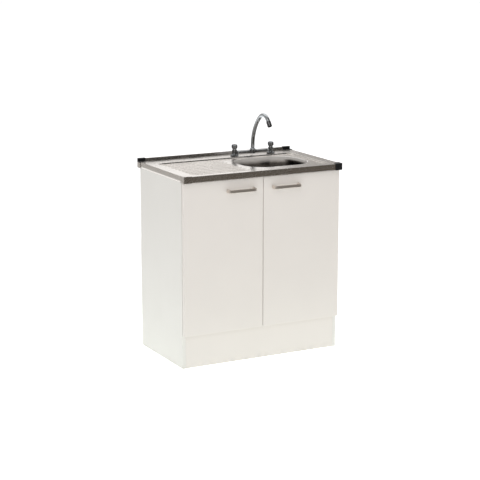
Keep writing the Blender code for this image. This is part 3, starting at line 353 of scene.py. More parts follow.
@dataclass(frozen=True)
class Melamine(Finish):
    """Off-white melamine on chipboard, with bare chipboard at the edges that no one sees."""

    cloud: float = 0.22
    cloud_edge: Flat = (0.35, 0.65)
    cloud_tones: Flat = (0.993, 1.005)
    # Colour of the dusty band along the floor; the painted shadow band takes it too.
    dust_and_shade: Colour = (0.55, 0.51, 0.46)
    dust_height: float = 0.030
    dust_patch: float = 0.03
    dust_edge: Flat = (0.35, 0.75)
    dust_share: float = 0.35
    # Painted shadow: where set, a darker band reaching up to this height, standing for the doors' shade on the
    # plinth.
    painted_shadow_under: Optional[float] = None
    painted_shadow_depth: float = 0.026
    painted_shadow_patch: float = 0.05
    painted_shadow_share: float = 0.10
    rub: float = 0.05
    rub_stretch: Corner = (1.0, 1.0, 0.3)
    rub_edge: Flat = (0.4, 0.8)
    rub_dull: float = 0.14
    peel: float = 0.0018
    peel_depth: float = 0.00002
    shine: float = 0.42
    bare_back: bool = False
    bare_foot: bool = False
    bare_edge: Flat = (0.75, 0.85)
    bare_dull: float = 0.35
    chip: float = 0.0045
    chip_edge: Flat = (0.32, 0.68)
    chip_dark: Colour = (0.30, 0.20, 0.11)
    chip_light: Colour = (0.62, 0.47, 0.30)
    chip_relief: float = 6.0

    def paint(self, shader: Shader) -> None:
        """Lays cloudy paper, a faint peel, dusty floor edges, chips at bare edges and, where set, a painted
        shadow band.

        Args:
            shader: The material's shader.
        """
        height = shader.place.part(2)
        cloud = shader.noise(self.cloud, detail=2.0).rise(*self.cloud_edge)
        tone = shader.mix(cloud, *self.tones(self.cloud_tones))
        low = (1 - height.rise(0.0, self.dust_height)) * shader.noise(self.dust_patch).rise(*self.dust_edge)
        tone = shader.mix(low * self.dust_share, tone, self.dust_and_shade)
        # Painted shadow: a band up to the given height is darkened in patches.
        if self.painted_shadow_under is not None:
            high = height.rise(self.painted_shadow_under - self.painted_shadow_depth, self.painted_shadow_under)
            share = self.painted_shadow_share + self.painted_shadow_share * shader.noise(self.painted_shadow_patch)
            tone = shader.mix(high * share, tone, self.dust_and_shade)
        rub = shader.noise(self.rub, self.rub_stretch, detail=4.0)
        roughness = self.roughness + self.rub_dull * rub.rise(*self.rub_edge)
        relief = shader.noise(self.peel, detail=2.0)
        bare = self._bare(shader)
        if bare is not None:
            chips = shader.noise(self.chip, detail=5.0).rise(*self.chip_edge)
            tone = shader.mix(bare, tone, shader.mix(chips, self.chip_dark, self.chip_light))
            roughness = roughness + self.bare_dull * bare
            relief = relief + self.chip_relief * bare * chips
        shader.dress(base_color=tone, roughness=roughness, specular_ior_level=self.shine)
        shader.bump(relief, self.peel_depth)

    def _bare(self, shader: Shader) -> Optional[Value]:
        """Finds the faces that show chipboard.

        Args:
            shader: The material's shader.

        Returns:
            Their mask, or None where every face is covered.
        """
        mask = None
        for shown, axis, sign in ((self.bare_back, 1, 1.0), (self.bare_foot, 2, -1.0)):
            if shown:
                faces = (sign * shader.facing.part(axis)).rise(*self.bare_edge)
                mask = faces if mask is None else mask + faces
        return mask


@dataclass(frozen=True)
class Hardboard(Finish):
    """Brown fibre board with a pressed screen pattern on its back."""

    fibre: float = 0.006
    fibre_edge: Flat = (0.3, 0.7)
    fibre_tones: Flat = (0.72, 1.18)
    fibre_dull: float = 0.12
    patch: float = 0.16
    patch_edge: Flat = (0.35, 0.7)
    patch_share: float = 0.4
    patch_tone: float = 0.8
    screen: float = 0.0016
    screen_share: float = 0.5
    back_edge: Flat = (0.5, 0.9)
    relief: float = 0.00015

    def paint(self, shader: Shader) -> None:
        """Lays matted fibres, and the woven screen as relief.

        Args:
            shader: The material's shader.
        """
        fibre = shader.noise(self.fibre, detail=6.0).rise(*self.fibre_edge)
        patch = shader.noise(self.patch).rise(*self.patch_edge)
        tone = shader.mix(fibre, *self.tones(self.fibre_tones))
        tone = shader.mix(patch * self.patch_share, tone, shade(self.colour, self.patch_tone))
        turn = 2 * math.pi / self.screen
        across, up = (shader.node("ShaderNodeMath", {"operation": "SINE"}, {0: shader.place.part(axis) * turn})
                      for axis in (0, 2))
        back = shader.facing.part(1).rise(*self.back_edge)
        shader.dress(base_color=tone, roughness=self.roughness + self.fibre_dull * fibre)
        shader.bump(across * up * back * self.screen_share + fibre, self.relief)


@dataclass(frozen=True)
class BrushedSheet(Finish):
    """Stainless sheet with a fine grain along one axis and faint water marks."""

    along: Sequence[float] = (0.012, 1.0, 1.0)
    grain: float = 0.0009
    grain_edge: Flat = (0.25, 0.75)
    grain_tones: Flat = (0.93, 1.05)
    grain_dull: float = 0.12
    grain_depth: float = 0.000010
    smear: float = 0.075
    smear_edge: Flat = (0.42, 0.72)
    smear_dull: float = 0.06
    spot: float = 0.021
    spot_edge: Flat = (0.05, 0.16)
    spot_dull: float = 0.05

    def paint(self, shader: Shader) -> None:
        """Lays grain in colour, gloss and relief, with smears over it.

        Args:
            shader: The material's shader.
        """
        grain = shader.noise(self.grain, self.along, detail=2.0)
        smear = shader.noise(self.smear, detail=4.0).rise(*self.smear_edge)
        spots = 1 - shader.cells(self.spot).rise(*self.spot_edge)
        tone = shader.mix(grain.rise(*self.grain_edge), *self.tones(self.grain_tones))
        roughness = self.roughness + self.grain_dull * (grain - 0.5)
        roughness = roughness + self.smear_dull * smear + self.spot_dull * spots
        tone, roughness, metal = self.painted_light_and_marks(shader, tone, roughness)
        shader.dress(base_color=tone, metallic=metal, roughness=roughness)
        shader.bump(grain, self.grain_depth)

    def painted_light_and_marks(self, shader: Shader, tone: Value, roughness: Value) -> tuple[Value, Value, Number]:
        """Leaves colour and roughness as they are, all metal."""
        return tone, roughness, 1.0


@dataclass(frozen=True)
class PressedSheet(BrushedSheet):
    """Brushed sheet with a bowl pressed into it.

    The bowl's wall is smoother from the drawing and darker with painted shade, painted near black at its
    right end as a dark reflection. Under its lip lies a band of pale painted highlight, and the upstand behind
    the tap is largely a matte grey.
    """

    centre: Corner = (0.157, -0.0069, 0.79)
    reach: Flat = (0.205, 0.225)
    mouth: Flat = (0.832, 0.854)
    lip: float = 0.010
    foot: Flat = (0.735, 0.765)
    # Painted shade: the bowl's wall is darkened by this share, towards this tone of the sheet's colour.
    painted_wall_shade: float = 0.60
    painted_wall_shade_tone: float = 0.2
    smoother: float = 0.14
    # Painted highlight: a pale, matte band under the bowl's lip, by its share and the heights where it starts
    # and ends.
    painted_highlight_band: Colour = (0.92, 0.895, 0.87)
    painted_highlight_share: float = 0.95
    painted_highlight_low: Flat = (0.833, 0.860)
    painted_highlight_high: Flat = (0.8665, 0.8688)
    splash: Colour = (0.46, 0.45, 0.44)
    splash_share: float = 0.75
    splash_at: float = 0.150
    splash_reach: Flat = (0.10, 0.19)
    splash_above: Flat = (0.8762, 0.8775)
    # Painted reflection: near black laid on the right end of the bowl's wall, by its share, start and heights.
    dark: Colour = (0.02, 0.019, 0.018)
    dark_share: float = 0.95
    dark_from: Flat = (0.282, 0.304)
    dark_low: Flat = (0.820, 0.834)
    dark_high: Flat = (0.848, 0.859)

    def painted_light_and_marks(self, shader: Shader, tone: Value, roughness: Value) -> tuple[Value, Value, Number]:
        """Paints shade, a dark reflection and a highlight band into the bowl, greys the upstand and smooths the
        bowl.

        Args:
            shader: The material's shader.
            tone: The sheet's colour.
            roughness: The sheet's roughness.

        Returns:
            The changed colour and roughness, and the share of bare metal.
        """
        across, height = shader.place.part(0), shader.place.part(2)
        near = 1 - shader.away(self.centre).rise(*self.reach)
        wall = near * (1 - height.rise(*self.mouth)) * height.rise(*self.foot)
        inside = near * (1 - height.rise(self.mouth[1], self.mouth[1] + self.lip))
        # Painted reflection: the right end of the wall, which is laid near black.
        end = near * across.rise(*self.dark_from) * (1 - height.rise(*self.dark_high))
        dark = end * height.rise(*self.dark_low) * self.dark_share
        # Painted highlight: the pale band under the lip, kept off the dark end.
        painted_highlight_band = near * height.rise(*self.painted_highlight_low) * (1 - height.rise(*self.painted_highlight_high))
        painted_highlight_band = painted_highlight_band * (1 - end) * self.painted_highlight_share
        splash = 1 - abs(across - self.splash_at).rise(*self.splash_reach)
        splash = splash * height.rise(*self.splash_above) * self.splash_share
        # Painted shade on the wall, then the painted highlight band, the painted dark reflection and the grey
        # upstand.
        tone = shader.mix(wall * self.painted_wall_shade, tone, shade(self.colour, self.painted_wall_shade_tone))
        for share, colour in ((painted_highlight_band, self.painted_highlight_band), (dark, self.dark), (splash, self.splash)):
            tone = shader.mix(share, tone, colour)
        return tone, roughness - self.smoother * inside, 1 - painted_highlight_band - splash


@dataclass(frozen=True)
class Plated(Finish):
    """Plated metal, from mirror chrome to dull zinc."""

    cloud: float = 0.03
    cloud_edge: Flat = (0.35, 0.75)
    cloud_share: float = 0.07
    drop: float = 0.009
    drop_edge: Flat = (0.08, 0.2)
    dried: float = 0.06

    def paint(self, shader: Shader) -> None:
        """Lays clouding and dried drops in the gloss.

        Args:
            shader: The material's shader.
        """
        cloud = shader.noise(self.cloud, detail=4.0).rise(*self.cloud_edge)
        drops = 1 - shader.cells(self.drop).rise(*self.drop_edge)
        tone = shader.mix(cloud * self.cloud_share, self.ground(shader), BLACK)
        shader.dress(base_color=tone, metallic=1.0,
                     roughness=self.roughness + self.dried / 2 * cloud + self.dried * drops)

    def ground(self, shader: Shader) -> Given:
        """The plating's colour before it clouds."""
        return self.colour


@dataclass(frozen=True)
class CastChrome(Plated):
    """Chrome on a casting, painted dark as painted shade, with the bridge lighter as a painted highlight."""

    # Painted highlight: the bridge's lighter chrome; the casting's own colour is painted dark.
    bright: Colour = (0.64, 0.655, 0.67)
    middle: float = 0.163
    boss: Flat = (0.015, 0.020)
    pillar: Flat = (0.080, 0.085)

    def ground(self, shader: Shader) -> Given:
        """Paints the bridge, between boss and pillars, lighter than the casting: a painted highlight.

        Args:
            shader: The material's shader.

        Returns:
            The plating's colour before it clouds.
        """
        beside = abs(shader.place.part(0) - self.middle)
        bridge = beside.rise(*self.boss) * (1 - beside.rise(*self.pillar))
        return shader.mix(bridge, self.colour, self.bright)


@dataclass(frozen=True)
class Moulded(Finish):
    """Moulded plastic or rubber with a fine sparked skin."""

    skin: float = 0.0007
    skin_dull: float = 0.08
    relief: float = 0.00002
    patch: float = 0.025
    patch_edge: Flat = (0.4, 0.75)
    patch_dull: float = 0.12
    bloom: Colour = (0.5, 0.5, 0.5)
    bloomed: float = 0.05

    def paint(self, shader: Shader) -> None:
        """Lays a fine skin, with a dusty bloom in patches.

        Args:
            shader: The material's shader.
        """
        patch = shader.noise(self.patch, detail=4.0).rise(*self.patch_edge)
        skin = shader.noise(self.skin, detail=2.0)
        plastic = shader.mix(patch * self.bloomed, self.colour, self.bloom)
        tone, gloss, metal = self.cover(shader, plastic)
        shader.dress(base_color=tone, metallic=metal,
                     roughness=gloss + self.patch_dull * patch + self.skin_dull * (skin - 0.5))
        shader.bump(skin, self.relief)

    def cover(self, shader: Shader, plastic: Value) -> tuple[Value, Number, Number]:
        """Leaves the plastic bare: its colour, its roughness and no metal."""
        return plastic, self.roughness, 0.0


@dataclass(frozen=True)
class SilveredCap(Moulded):
    """A plastic cap with a silvered skin, and bare plastic above a height."""

    patch_dull: float = 0.06
    silver: Colour = (0.70, 0.665, 0.63)
    silver_roughness: float = 0.26
    bare_above: float = 1.0
    fade: float = 0.0004

    def cover(self, shader: Shader, plastic: Value) -> tuple[Value, Number, Number]:
        """Silvers the cap below the bare height.

        Args:
            shader: The material's shader.
            plastic: The bare plastic's colour.

        Returns:
            The colour, the roughness and the share of metal.
        """
        bare = shader.place.part(2).rise(self.bare_above - self.fade, self.bare_above + self.fade)
        gloss = self.silver_roughness + (self.roughness - self.silver_roughness) * bare
        return shader.mix(bare, self.silver, plastic), gloss, 1 - bare


@dataclass(frozen=True)
class Turned(Finish):
    """Turned brass with tool lines round it."""

    line: float = 0.0005
    line_stretch: Corner = (0.02, 0.02, 1.0)
    line_dull: float = 0.1
    line_depth: float = 0.00003
    tarnish: float = 0.008
    tarnish_edge: Flat = (0.4, 0.8)
    tarnish_tone: float = 0.55
    tarnish_dull: float = 0.2

    def paint(self, shader: Shader) -> None:
        """Lays tool lines and tarnish.

        Args:
            shader: The material's shader.
        """
        lines = shader.noise(self.line, self.line_stretch, detail=2.0)
        tarnish = shader.noise(self.tarnish, detail=4.0).rise(*self.tarnish_edge)
        tone = shader.mix(tarnish, self.colour, shade(self.colour, self.tarnish_tone))
        shader.dress(base_color=tone, metallic=1.0,
                     roughness=self.roughness + self.tarnish_dull * tarnish + self.line_dull * lines)
        shader.bump(lines, self.line_depth)


FRONT_PAPER: Colour = (0.810, 0.765, 0.725)
INNER_PAPER: Colour = (0.800, 0.780, 0.750)
JET: Colour = (0.008, 0.008, 0.009)

DOOR_WHITE = Melamine("door_melamine", Slot.MELAMINE, FRONT_PAPER, 0.34)
# The plinth's top band, in the shade under the doors, is darkened as a painted shadow.
PLINTH_WHITE = Melamine("plinth_melamine", Slot.MELAMINE, FRONT_PAPER, 0.34, painted_shadow_under=0.150)
SIDE_WHITE = Melamine("side_melamine", Slot.MELAMINE, (0.800, 0.780, 0.745), 0.36,
                      bare_back=True, bare_foot=True)
INNER_WHITE = Melamine("inner_melamine", Slot.MELAMINE, INNER_PAPER, 0.38, bare_back=True)
RAIL_WHITE = Melamine("rail_melamine", Slot.MELAMINE, INNER_PAPER, 0.38)
BACK_BOARD = Hardboard("back_hardboard", Slot.HARDBOARD, (0.36, 0.23, 0.13), 0.66)
TOP_STEEL = PressedSheet("top_steel", Slot.STEEL, (0.74, 0.705, 0.67), 0.24)
WASTE_STEEL = Plated("waste_steel", Slot.STEEL, (0.68, 0.67, 0.65), 0.14)
NOZZLE = Plated("nozzle_chrome", Slot.CHROME, (0.16, 0.16, 0.165), 0.16)
CHROME = Plated("spout_chrome", Slot.CHROME, (0.61, 0.645, 0.675), 0.06)
# The casting's chrome is painted dark, as painted shade, and its bridge lighter, as a painted highlight.
CASTING = CastChrome("casting_chrome", Slot.CHROME, (0.27, 0.28, 0.29), 0.07)
# The knobs' chrome is painted dark, as painted shade, like the casting's.
KNOB = Plated("knob_chrome", Slot.CHROME, (0.29, 0.30, 0.31), 0.07)
NECK = Plated("neck_chrome", Slot.CHROME, (0.60, 0.61, 0.62), 0.08)
HANDLE_SATIN = BrushedSheet("handle_satin", Slot.HANDLE, (0.84, 0.775, 0.715), 0.43, grain=0.0006)
ZINC = Plated("hinge_nickel", Slot.NICKEL, (0.62, 0.61, 0.58), 0.24, dried=0.04)
CAP_BLACK = Moulded("cap_plastic", Slot.BLACK, JET, 0.40, bloomed=0.015)
CAP_SILVER = SilveredCap("cap_silver", Slot.BLACK, JET, 0.40, bloomed=0.015)
CAP_HALF = SilveredCap("cap_half_silver", Slot.BLACK, JET, 0.40, bloomed=0.015, bare_above=0.871)
RUBBER = Moulded("seal_rubber", Slot.RUBBER, (0.03, 0.03, 0.03), 0.72, relief=0.00005)
TRAP_WHITE = Moulded("trap_plastic", Slot.WHITE, (0.80, 0.80, 0.78), 0.32, bloom=(0.55, 0.52, 0.46))
BRASS = Turned("nut_brass", Slot.BRASS, (0.70, 0.50, 0.22), 0.30)
MARKS = {Supply.HOT: Moulded("hot_enamel", Slot.CHROME, (0.42, 0.03, 0.025), 0.22),
         Supply.COLD: Moulded("cold_enamel", Slot.CHROME, (0.03, 0.07, 0.36), 0.22)}
CAPS = {"corner_cap_front_left": CAP_SILVER, "corner_cap_front_right": CAP_BLACK,
        "corner_cap_back_left": CAP_HALF, "corner_cap_back_right": CAP_HALF}

FILLET_REACH = 0.49


def eased(step: float, steps: int) -> float:
    """Eases a row of steps in and out.

    Args:
        step: Where in the row.
        steps: The row's length.

    Returns:
        A smooth step, 0 at the start and 1 at the end.
    """
    share = step / steps
    return share * share * (3 - 2 * share)


def filleted(corners: Sequence[Corner], steps: int = 5) -> Line:
    """Rounds an open line.

    Args:
        corners: Its corners, each with the radius that rounds it.
        steps: Points along each rounding.

    Returns:
        The line's points.
    """
    points: Line = []
    for index, (x, y, radius) in enumerate(corners):
        if radius == 0 or index in (0, len(corners) - 1):
            points.append((x, y))
            continue
        here = Vector((x, y))
        back = Vector(corners[index - 1][:2]) - here
        ahead = Vector(corners[index + 1][:2]) - here
        turn = back.angle(ahead)
        reach = min(radius / math.tan(turn / 2), back.length * FILLET_REACH, ahead.length * FILLET_REACH)
        start, end = here + back.normalized() * reach, here + ahead.normalized() * reach
        for step in range(steps + 1):
            share = step / steps
            point = start.lerp(here, share).lerp(here.lerp(end, share), share)
            points.append((point.x, point.y))
    return points


def flat_ring(bore: float, outer: float, low: float, high: float, edge: float, steps: int = 5) -> Line:
    """Draws the profile of a flat ring with rounded outer edges.

    Args:
        bore: The radius of its hole.
        outer: Its outer radius.
        low: The height of its foot.
        high: The height of its top.
        edge: The outer edges' radius.
        steps: Points along each rounding.

    Returns:
        The profile's points of radius and height.
    """
    return filleted([(bore, low, 0), (outer, low, edge), (outer, high, edge), (bore, high, 0)], steps)


def disc(radius: float, count: int, centre: Flat = (0.0, 0.0)) -> Line:
    """Lays points round a circle.

    Args:
        radius: The circle's radius.
        count: How many points.
        centre: Its centre.

    Returns:
        The points.
    """
    angles = [2 * math.pi * step / count for step in range(count)]
    return [(centre[0] + radius * math.cos(angle), centre[1] + radius * math.sin(angle)) for angle in angles]


def rounded(x: Flat, y: Flat, radius: float, steps: int, between: int = 0, inset: float = 0.0) -> Line:
    """A rectangle with round corners.

    Args:
        x: Its left and right.
        y: Its front and back.
        radius: The corners' radius.
        steps: Steps round each corner.
        between: Points along each straight.
        inset: How far the whole outline is moved in.

    Returns:
        Its points, from the front of the right side and round by the back.
    """
    left, right, front, back = x[0] + inset, x[1] - inset, y[0] + inset, y[1] - inset
    bend = radius - inset
    corners = ((right - bend, front + bend, -90), (right - bend, back - bend, 0),
               (left + bend, back - bend, 90), (left + bend, front + bend, 180))
    arcs = []
    for centre_x, centre_y, start in corners:
        angles = [math.radians(start + 90 * step / steps) for step in range(steps + 1)]
        arcs.append([Vector((centre_x + bend * math.cos(angle), centre_y + bend * math.sin(angle)))
                     for angle in angles])
    points: Line = []
    for arc, following in zip(arcs, arcs[1:] + arcs[:1]):
        links = [arc[-1].lerp(following[0], (step + 1) / (between + 1)) for step in range(between)]
        points += [(point.x, point.y) for point in arc + links]
    return points


def lobes(count: int, depth: float, rows: Iterable[int]) -> Wave:
    """A wavy grip.

    Args:
        count: Waves in a turn.
        depth: How far a hollow goes in.
        rows: The profile points that get it.

    Returns:
        A function from a profile point and an angle to the cut from the radius.
    """
    chosen = frozenset(rows)

    def cut(row: int, angle: float) -> float:
        """Finds the hollow's depth.

        Args:
            row: The profile point's number.
            angle: The angle round the axis.

        Returns:
            What is cut from the radius there.
        """
        return depth * (0.5 - 0.5 * math.cos(count * angle)) if row in chosen else 0.0

    return cut


def flats(outer: float, share: float, rows: Iterable[int]) -> Wave:
    """The six flats of a nut.

    Args:
        outer: The radius at its corners.
        share: The flats' distance from the axis, as a share of that.
        rows: The profile points that get them.

    Returns:
        A function from a profile point and an angle to the cut from the radius.
    """
    chosen = frozenset(rows)
    sixth = math.pi / 3

    def cut(row: int, angle: float) -> float:
        """Finds a flat's depth.

        Args:
            row: The profile point's number.
            angle: The angle round the axis.

        Returns:
            What is cut from the radius there.
        """
        off = (angle + sixth / 2) % sixth - sixth / 2
        return max(0.0, outer * (1 - share / math.cos(off))) if row in chosen else 0.0

    return cut


SCREW_POINTS = 20
SCREW_DOME = ((1.0, 0.0), (1.0, 0.35), (0.93, 0.68), (0.78, 1.0))
RECESS_HALF = 0.13
RECESS_ARM = 0.55
RECESS_FLOOR = 0.35


class Form:
    """A mesh in the making."""

    def __init__(self, place: Optional[Matrix] = None) -> None:
        """Starts an empty mesh; what is added stands at place."""
        self.mesh = bmesh.new()
        self.place = place or Matrix.Identity(4)

    def loop(self, points: Iterable[Sequence[float]]) -> Loop:
        """Adds points."""
        return [self.mesh.verts.new(self.place @ Vector(point)) for point in points]

    def level(self, outline: Iterable[Flat], height: float) -> Loop:
        """Adds an outline at a height."""
        return self.loop((x, y, height) for x, y in outline)

    def bridge(self, first: Loop, second: Loop) -> None:
        """Joins two closed loops.

        Args:
            first: A loop, or a single point.
            second: A loop of as many points, or a single point.
        """
        count = max(len(first), len(second))
        for step in range(count):
            following = (step + 1) % count
            ring = [first[step % len(first)], first[following % len(first)],
                    second[following % len(second)], second[step % len(second)]]
            self.mesh.faces.new(list(dict.fromkeys(ring)))

    def loft(self, loops: Sequence[Loop], capped: bool = False) -> None:
        """Joins loops in a row.

        Args:
            loops: The loops.
            capped: Whether the two ends are closed.
        """
        for first, second in zip(loops, loops[1:]):
            self.bridge(first, second)
        if capped:
            self.mesh.faces.new(loops[0])
            self.mesh.faces.new(loops[-1])

    def fill(self, loops: Sequence[Loop]) -> None:
        """Fills a flat area.

        Args:
            loops: The loop round it, and the loops of its holes.
        """
        edges = []
        for loop in loops:
            for first, second in zip(loop, loop[1:] + loop[:1]):
                edges.append(self.mesh.edges.get((first, second)) or self.mesh.edges.new((first, second)))
        normal = self.place.to_3x3() @ Vector((0, 0, 1))
        bmesh.ops.triangle_fill(self.mesh, use_beauty=True, use_dissolve=False, edges=edges, normal=normal)

    def turned(self, profile: Sequence[Flat], count: int, wave: Optional[Wave] = None) -> Form:
        """Turns a profile about the upright axis.

        Args:
            profile: Points of radius and height. One that leaves and meets the axis is solid, and any
                other is a closed ring.
            count: Points round the turn.
            wave: A cut from the radius by profile point and angle.

        Returns:
            The form itself.
        """
        loops = []
        for row, (radius, height) in enumerate(profile):
            if radius == 0:
                loops.append(self.loop([(0, 0, height)]))
                continue
            points = []
            for step in range(count):
                angle = 2 * math.pi * step / count
                reach = radius - (wave(row, angle) if wave else 0.0)
                points.append((reach * math.cos(angle), reach * math.sin(angle), height))
            loops.append(self.loop(points))
        if len(loops[0]) > 1:
            loops.append(loops[0])
        self.loft(loops)
        return self

    def swept(self, path: Sequence[Vector], section: Sequence[Flat], upright: Vector,
              sizes: Optional[Sequence[float]] = None) -> Form:
        """Carries a section along a flat path.

        Args:
            path: The path's points.
            section: Its outline, across the path and along upright.
            upright: The direction square to the path's plane.
            sizes: What the section is multiplied by at each point, where it changes.

        Returns:
            The form itself.
        """
        loops = []
        for index, point in enumerate(path):
            ahead = (path[min(index + 1, len(path) - 1)] - path[max(index - 1, 0)]).normalized()
            across = ahead.cross(upright)
            size = sizes[index] if sizes else 1.0
            loops.append(self.loop(point + across * (a * size) + upright * (b * size) for a, b in section))
        self.loft(loops, capped=True)
        return self

    def screw(self, radius: float, height: float, turn: float = 0.0) -> Form:
        """A domed head with a cross recess, its seat at place.

        Args:
            radius: The head's radius.
            height: The head's height.
            turn: The recess's angle.

        Returns:
            The form itself.
        """
        wide, arm = RECESS_HALF * radius, RECESS_ARM * radius
        cross = []
        for quarter in range(4):
            turned = Matrix.Rotation(turn + quarter * math.pi / 2, 2)
            cross += [tuple(turned @ Vector(point)) for point in ((arm, -wide), (arm, wide), (wide, wide))]
        loops = [self.level(disc(out * radius, SCREW_POINTS), up * height) for out, up in SCREW_DOME]
        self.loft(loops)
        self.mesh.faces.new(loops[0])
        mouth = self.level(cross, height)
        self.fill([loops[-1], mouth])
        floor = self.level(cross, RECESS_FLOOR * height)
        self.bridge(mouth, floor)
        self.mesh.faces.new(floor)
        return self

    def as_object(self, name: str) -> bpy.types.Object:
        """Ends the mesh in the making.

        Args:
            name: The object's name.

        Returns:
            An object of the mesh as it stands.
        """
        bmesh.ops.recalc_face_normals(self.mesh, faces=self.mesh.faces)
        data = bpy.data.meshes.new(name)
        self.mesh.to_mesh(data)
        self.mesh.free()
        made = bpy.data.objects.new(name, data)
        bpy.context.scene.collection.objects.link(made)
        return made

    def combined(self, tools: Sequence[tuple[Join, Form]]) -> Form:
        """Adds or cuts other closed forms.

        Args:
            tools: What is done, and the form that it is done with.

        Returns:
            A new form with the result.
        """
        body = self.as_object("combined")
        helpers = []
        for join, tool in tools:
            helper = tool.as_object("helper")
            helpers.append(helper)
            modifier = body.modifiers.new("combine", "BOOLEAN")
            modifier.operation, modifier.object, modifier.solver = join.value, helper, "EXACT"
        return Form.evaluated(body, helpers)

    def thickened(self, sheet: float) -> Form:
        """Gives an open sheet its thickness, below its upper face.

        Args:
            sheet: The thickness.

        Returns:
            A new form with the result.
        """
        body = self.as_object("sheet")
        if sum(face.normal.z * face.area for face in body.data.polygons) < 0:
            body.data.flip_normals()
        modifier = body.modifiers.new("thickness", "SOLIDIFY")
        modifier.thickness, modifier.offset, modifier.use_even_offset = sheet, -1, True
        return Form.evaluated(body, [])

    @staticmethod
    def evaluated(body: bpy.types.Object, helpers: Sequence[bpy.types.Object]) -> Form:
        """Turns an object with modifiers into a form.

        Args:
            body: The object.
            helpers: Other objects that its modifiers use.

        Returns:
            A form with the modifiers' result; the objects are deleted.
        """
        graph = bpy.context.evaluated_depsgraph_get()
        data = bpy.data.meshes.new_from_object(body.evaluated_get(graph))
        result = Form()
        result.mesh.from_mesh(data)
        for item in (body, *helpers):
            bpy.data.objects.remove(item, do_unlink=True)
        bpy.data.meshes.remove(data)
        return result

    def piece(self, name: str, body: Body, finish: Finish, replaces: Sequence[str] = (),
              crease: float = 32.0) -> bpy.types.Object:
        """Makes a piece of the cabinet.

        Args:
            name: The piece's name.
            body: The body that it moves with.
            finish: Its finish.
            replaces: The CAD nodes that it stands for.
            crease: Edges sharper than this, in degrees, stay sharp.

        Returns:
            The piece.
        """
        made = self.as_object(name)
        made.data.materials.append(material_of(finish))
        made.data.shade_smooth()
        made.data.set_sharp_from_angle(angle=math.radians(crease))
        normals = made.modifiers.new("normals", "WEIGHTED_NORMAL")
        normals.keep_sharp = True
        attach(made, body.value)
        if replaces:
            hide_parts(*replaces)
        LOG.info("%s: %d faces on %s", name, len(made.data.polygons), body.value)
        return made


@dataclass(frozen=True)
class Room:
    """The box that a CAD node fills at rest."""

    low: Vector
    high: Vector

    @classmethod
    def of(cls, node: str) -> Room:
        """The room of a node."""
        return cls(*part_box(node))

    @property
    def x(self) -> float:
        """The middle of its width."""
        return (self.low.x + self.high.x) / 2

    @property
    def y(self) -> float:
        """The middle of its depth."""
        return (self.low.y + self.high.y) / 2

    @property
    def z(self) -> float:
        """The middle of its height."""
        return (self.low.z + self.high.z) / 2

    @property
    def radius(self) -> float:
        """Half its width."""
        return (self.high.x - self.low.x) / 2

    @property
    def deep(self) -> float:
        """Its depth."""
        return self.high.y - self.low.y

    @property
    def tall(self) -> float:
        """Its height."""
        return self.high.z - self.low.z

    def inner(self, side: Side) -> float:
        """The end of its width that faces the cabinet's middle from a side."""
        return self.low.x if side is Side.RIGHT else self.high.x


WELD = 0.00001
EDGE_STEPS = 3


def dress_node(node: str, finish: Finish, edge: float = 0.0) -> None:
    """Gives a CAD node its finish.

    Args:
        node: The node's name.
        finish: Its finish.
        edge: The width of a soft edge, or 0 to leave the edges.
    """
    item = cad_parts[node]
    item.data.materials.clear()
    item.data.materials.append(material_of(finish))
    if edge:
        weld = item.modifiers.new("weld", "WELD")
        weld.merge_threshold = WELD
        bevel = item.modifiers.new("edges", "BEVEL")
        bevel.width, bevel.segments, bevel.limit_method = edge, EDGE_STEPS, "ANGLE"
        bevel.harden_normals = False
    LOG.info("%s: CAD node in %s", node, finish.name)


@dataclass
class Carcass:
    """Panels, plinth, back board and the pins that hold it."""

    buffer_taper: float = 0.82
    buffer_dome: float = 0.5
    buffer_round: int = 32
    pin_radius: float = 0.0026
    pin_height: float = 0.0009
    pin_margin: float = 0.009
    pin_pitch: float = 0.115
    pin_round: int = 14

    def build(self) -> None:
        """Dresses the panels, makes the buffers and pins the back board."""
        for side in Side:
            dress_node(f"side_panel_{side.word}", SIDE_WHITE)
        for node, finish in (("bottom_panel", INNER_WHITE), ("front_rail", RAIL_WHITE),
                             ("rear_rail", RAIL_WHITE), ("plinth", PLINTH_WHITE), ("back_panel", BACK_BOARD)):
            dress_node(node, finish)
        for side in Side:
            for level in Level:
                self._buffer(f"buffer_{side.word}_{level.value}")
        self._pins()

    def _buffer(self, name: str) -> None:
        """A domed stop behind a door's free edge.

        Args:
            name: The buffer's name.
        """
        node = f"door_{name}"
        room = Room.of(node)
        dome = filleted([(0, 0, 0), (room.radius, 0, 0.0002),
                         (room.radius * self.buffer_taper, room.deep, room.radius * self.buffer_dome),
                         (0, room.deep, 0)])
        Form(Way.FRONT.at(room.x, room.high.y, room.z)).turned(dome, self.buffer_round).piece(
            name, Body.CABINET, TRAP_WHITE, [node])

    def _pins(self) -> None:
        """Nail heads along the back board's foot and sides."""
        room = Room.of("back_panel")
        left, right = room.low.x + self.pin_margin, room.high.x - self.pin_margin
        foot, top = room.low.z + self.pin_margin, room.high.z - self.pin_margin
        along = max(2, round((right - left) / self.pin_pitch))
        spots = [(left + (right - left) * step / along, foot) for step in range(along + 1)]
        up = max(2, round((top - foot) / self.pin_pitch))
        spots += [(x, foot + (top - foot) * step / up) for x in (left, right) for step in range(1, up + 1)]
        head = filleted([(0, 0, 0), (self.pin_radius, 0, 0), (self.pin_radius, self.pin_height / 2, 0.0004),
                         (0, self.pin_height, 0)], 3)
        form = Form()
        for x, z in spots:
            form.place = Way.BACK.at(x, room.high.y, z)
            form.turned(head, self.pin_round)
        form.piece("back_board_pins", Body.CABINET, ZINC)


